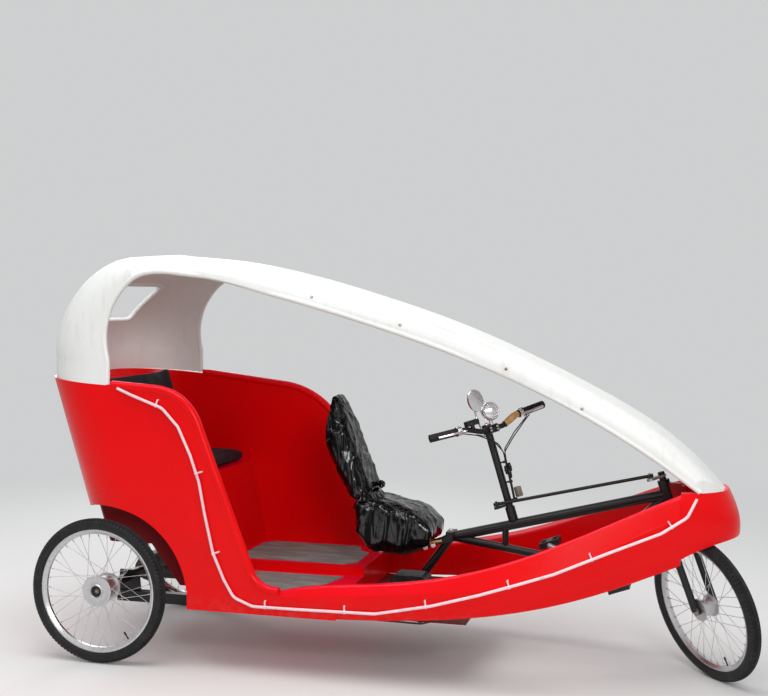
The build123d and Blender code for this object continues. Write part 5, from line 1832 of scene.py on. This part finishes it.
    def crank_bolts(self) -> None:
        """Spindle bolts at both ends and a circle of bolts on the chainring."""
        x, z = self.crank
        bolts = [hex_bolt(7.5, 6).placed(place(x, side * self.spindle_end, z), Vector((0, side, 0)))
                 for side in (-1, 1)]
        for turn in 2 * pi * (np.arange(self.ring_bolts) + 0.5) / self.ring_bolts:
            out, up = self.ring_bolt_circle * cos(turn), self.ring_bolt_circle * sin(turn)
            foot = place(x + out, self.middle - self.ring_face, z + up)
            bolts.append(hex_bolt(4.6, 3.5).placed(foot, Vector((0, -1, 0))))
        Surface.union(bolts).build("crank_bolts", STEEL, "crank", "steel", 30.0)

    def pedal_studs(self) -> None:
        """Grip studs in two rows on each tread of both pedals."""
        stud = Surface.lathe(self.stud_profile, 8)
        across, along = cos(self.crank_lift), sin(self.crank_lift)
        normal, tread = np.array([-along, 0.0, across]), np.array([across, 0.0, along])
        studs = []
        for side in (-1, 1):
            x = self.crank[0] - side * self.crank_length * across
            z = self.crank[1] + side * self.crank_length * along
            for face, row in product((-1, 1), (-self.stud_row, self.stud_row)):
                foot = tread * row + normal * face * self.tread_half
                studs += [stud.placed(place(x, side * out, z) + foot, normal * face)
                          for out in np.linspace(92, 162, 9)]
        Surface.union(studs).build("pedal_studs", BLACK_PLASTIC, "crank", "pedal_black", 40.0)

    def build(self) -> None:
        """Make the drive's pieces."""
        self.chain()
        self.teeth(0, 71.0, self.ring_face).build("chainring_teeth", STEEL, "crank", "steel", 30.0)
        self.teeth(3, 30.0, 3.3).build("rear_sprocket_teeth", CHAIN_STEEL, "vehicle", "chain_steel", 30.0)
        self.crank_bolts()
        self.pedal_studs()


@dataclass
class HubCaps:
    """Rear hub covers with a wide centre hole and the rusty bolt deep in it, and the front axle's nuts."""

    face: float = 495.2
    rim: float = 66.8
    hole: float = 24.0
    lobes: int = 18
    lobe_depth: float = 0.0011
    lobe_from: float = 0.0625
    bolt_sunk: float = 0.0081
    front_half: float = 0.0502
    well_profile: Line = (
        (10.6, 0.4), (17, 0.4), (18.5, 2.2), (23.8, 2.2), (23.8, -0.2), (10.6, -0.2), (10.6, 0.4))

    def rear(self, side: int, mark: str) -> None:
        """Cover on the outer face of a rear hub: a disc with a raised collar round its hole.

        Near its rim the disc's radius is taken in by d (1 - cos(n t)) / 2, which scallops its edge.

        Args:
            side: -1 for the right wheel, 1 for the left.
            mark: The side's word in names.
        """
        centre = place(0, side * self.face, WHEEL_R * 1000)
        out = Vector((0, side, 0))
        body = f"rear_wheel_{mark}"
        hole, rim = self.hole, self.rim
        cover = Surface.lathe([(hole, -0.2), (hole, 8.6), (hole + 1, 9.8), (hole + 3.6, 9.8), (hole + 5, 8.6),
                               (hole + 6.2, 4.6), (hole + 10, 3), (rim - 13, 2.4), (rim - 11.2, 3.6),
                               (rim - 2.2, 3.6), (rim - 0.6, 2.6), (rim, 0.6), (rim, -3), (rim - 2, -3.6),
                               (rim - 4.6, -1.2), (rim - 6.6, -0.2), (hole, -0.2)], 108)
        radius = np.hypot(cover.points[:, 0], cover.points[:, 1])
        turn = np.arctan2(cover.points[:, 1], cover.points[:, 0])
        taken = self.lobe_depth * (1.0 - np.cos(self.lobes * turn)) / 2 * (radius > self.lobe_from)
        cover.points[:, :2] *= (1.0 - taken / radius)[:, None]
        cover.placed(centre, out).build(f"hub_cover_{mark}", HUB_ALLOY, body, "hub_silver", 40.0)
        well = Surface.lathe(self.well_profile, 48).placed(centre, out)
        well.build(f"hub_well_{mark}", BLACK_PLASTIC, body, "hub_silver", 30.0)
        bolt = hex_bolt(6.4, 11.5).placed(centre - np.array([0, side * self.bolt_sunk, 0]), out)
        bolt.build(f"axle_bolt_{mark}", RUSTY, body, "hub_silver", 30.0)

    def front(self) -> None:
        """Axle nuts on the fork's ends."""
        joint = JOINTS["front_wheel_spin"]
        centre = np.array(joint["pos_m"])
        axle = np.array(joint["axis"]) / np.linalg.norm(joint["axis"])
        nuts = [hex_bolt(12.5, 8).placed(centre + axle * side * self.front_half, axle * side)
                for side in (-1, 1)]
        Surface.union(nuts).build("front_axle_nuts", RUSTY, "fork", "steel", 30.0)

    def build(self) -> None:
        """Make covers and nuts."""
        self.rear(-1, "right")
        self.rear(1, "left")
        self.front()


@dataclass
class Fasteners:
    """Bolts of the frame, the seat bracket and the hangers, and the small tan lever under the seat."""

    # Columns: x, y, z, direction x y z, head radius, height
    bolts: tuple[tuple[float, ...], ...] = (
        (1352, -52.2, 494, 0, -1, 0, 7.5, 6.0), (1318, -52.2, 482, 0, -1, 0, 7.5, 6.0),
        (1120, -52.2, 457, 0, -1, 0, 7.0, 5.0), (1352, 52.2, 494, 0, 1, 0, 7.5, 6.0),
        (1296, -54.2, 172, 0, -1, 0, 6.0, 5.0), (332, -54.2, 178, 0, -1, 0, 6.0, 5.0),
        (1330, -54.2, 236, 0, -1, 0, 6.0, 5.0), (300, -54.2, 236, 0, -1, 0, 6.0, 5.0),
        (1420, 0, 551.2, 0, 0, 1, 7.0, 5.5))
    lever: tuple[Point, ...] = ((1322, -58, 498), (1342, -62, 505), (1366, -62, 512), (1392, -58, 516))
    lever_radius: float = 0.0055

    def build(self) -> None:
        """Make the bolts and the lever."""
        heads = [hex_bolt(radius, height).placed(place(x, y, z), Vector((dx, dy, dz)))
                 for x, y, z, dx, dy, dz, radius, height in self.bolts]
        Surface.union(heads).build("frame_bolts", CHROME, "vehicle", "steel", 30.0)
        path = flowing(placed_line(np.array(self.lever, float)), 8)
        Surface.tube(path, self.lever_radius, 14).build("tan_lever", CORK, "vehicle", "frame_black", 50.0)


def main() -> None:
    """Build every sub-assembly in order."""
    logging.basicConfig(level=logging.INFO, format="%(message)s")
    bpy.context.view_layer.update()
    stage = Stage()
    stage.build()
    PAINT.dress_nodes()
    wheels = [Wheel(side, f"rear_wheel_{side}", f"rear_wheel_{side}_spin", f"rear_tyre_{side}")
              for side in ("right", "left")]
    wheels.append(Wheel("front", "front_wheel", "front_wheel_spin", "front_tyre"))
    for assembly in (*wheels, CabRim(), HoodTrim(stage), Mats(), Steering(), Drive(), HubCaps(), Fasteners(),
                     Benches()):
        log.info("building %s", type(assembly).__name__)
        assembly.build()


if __name__ == "__main__":
    main()
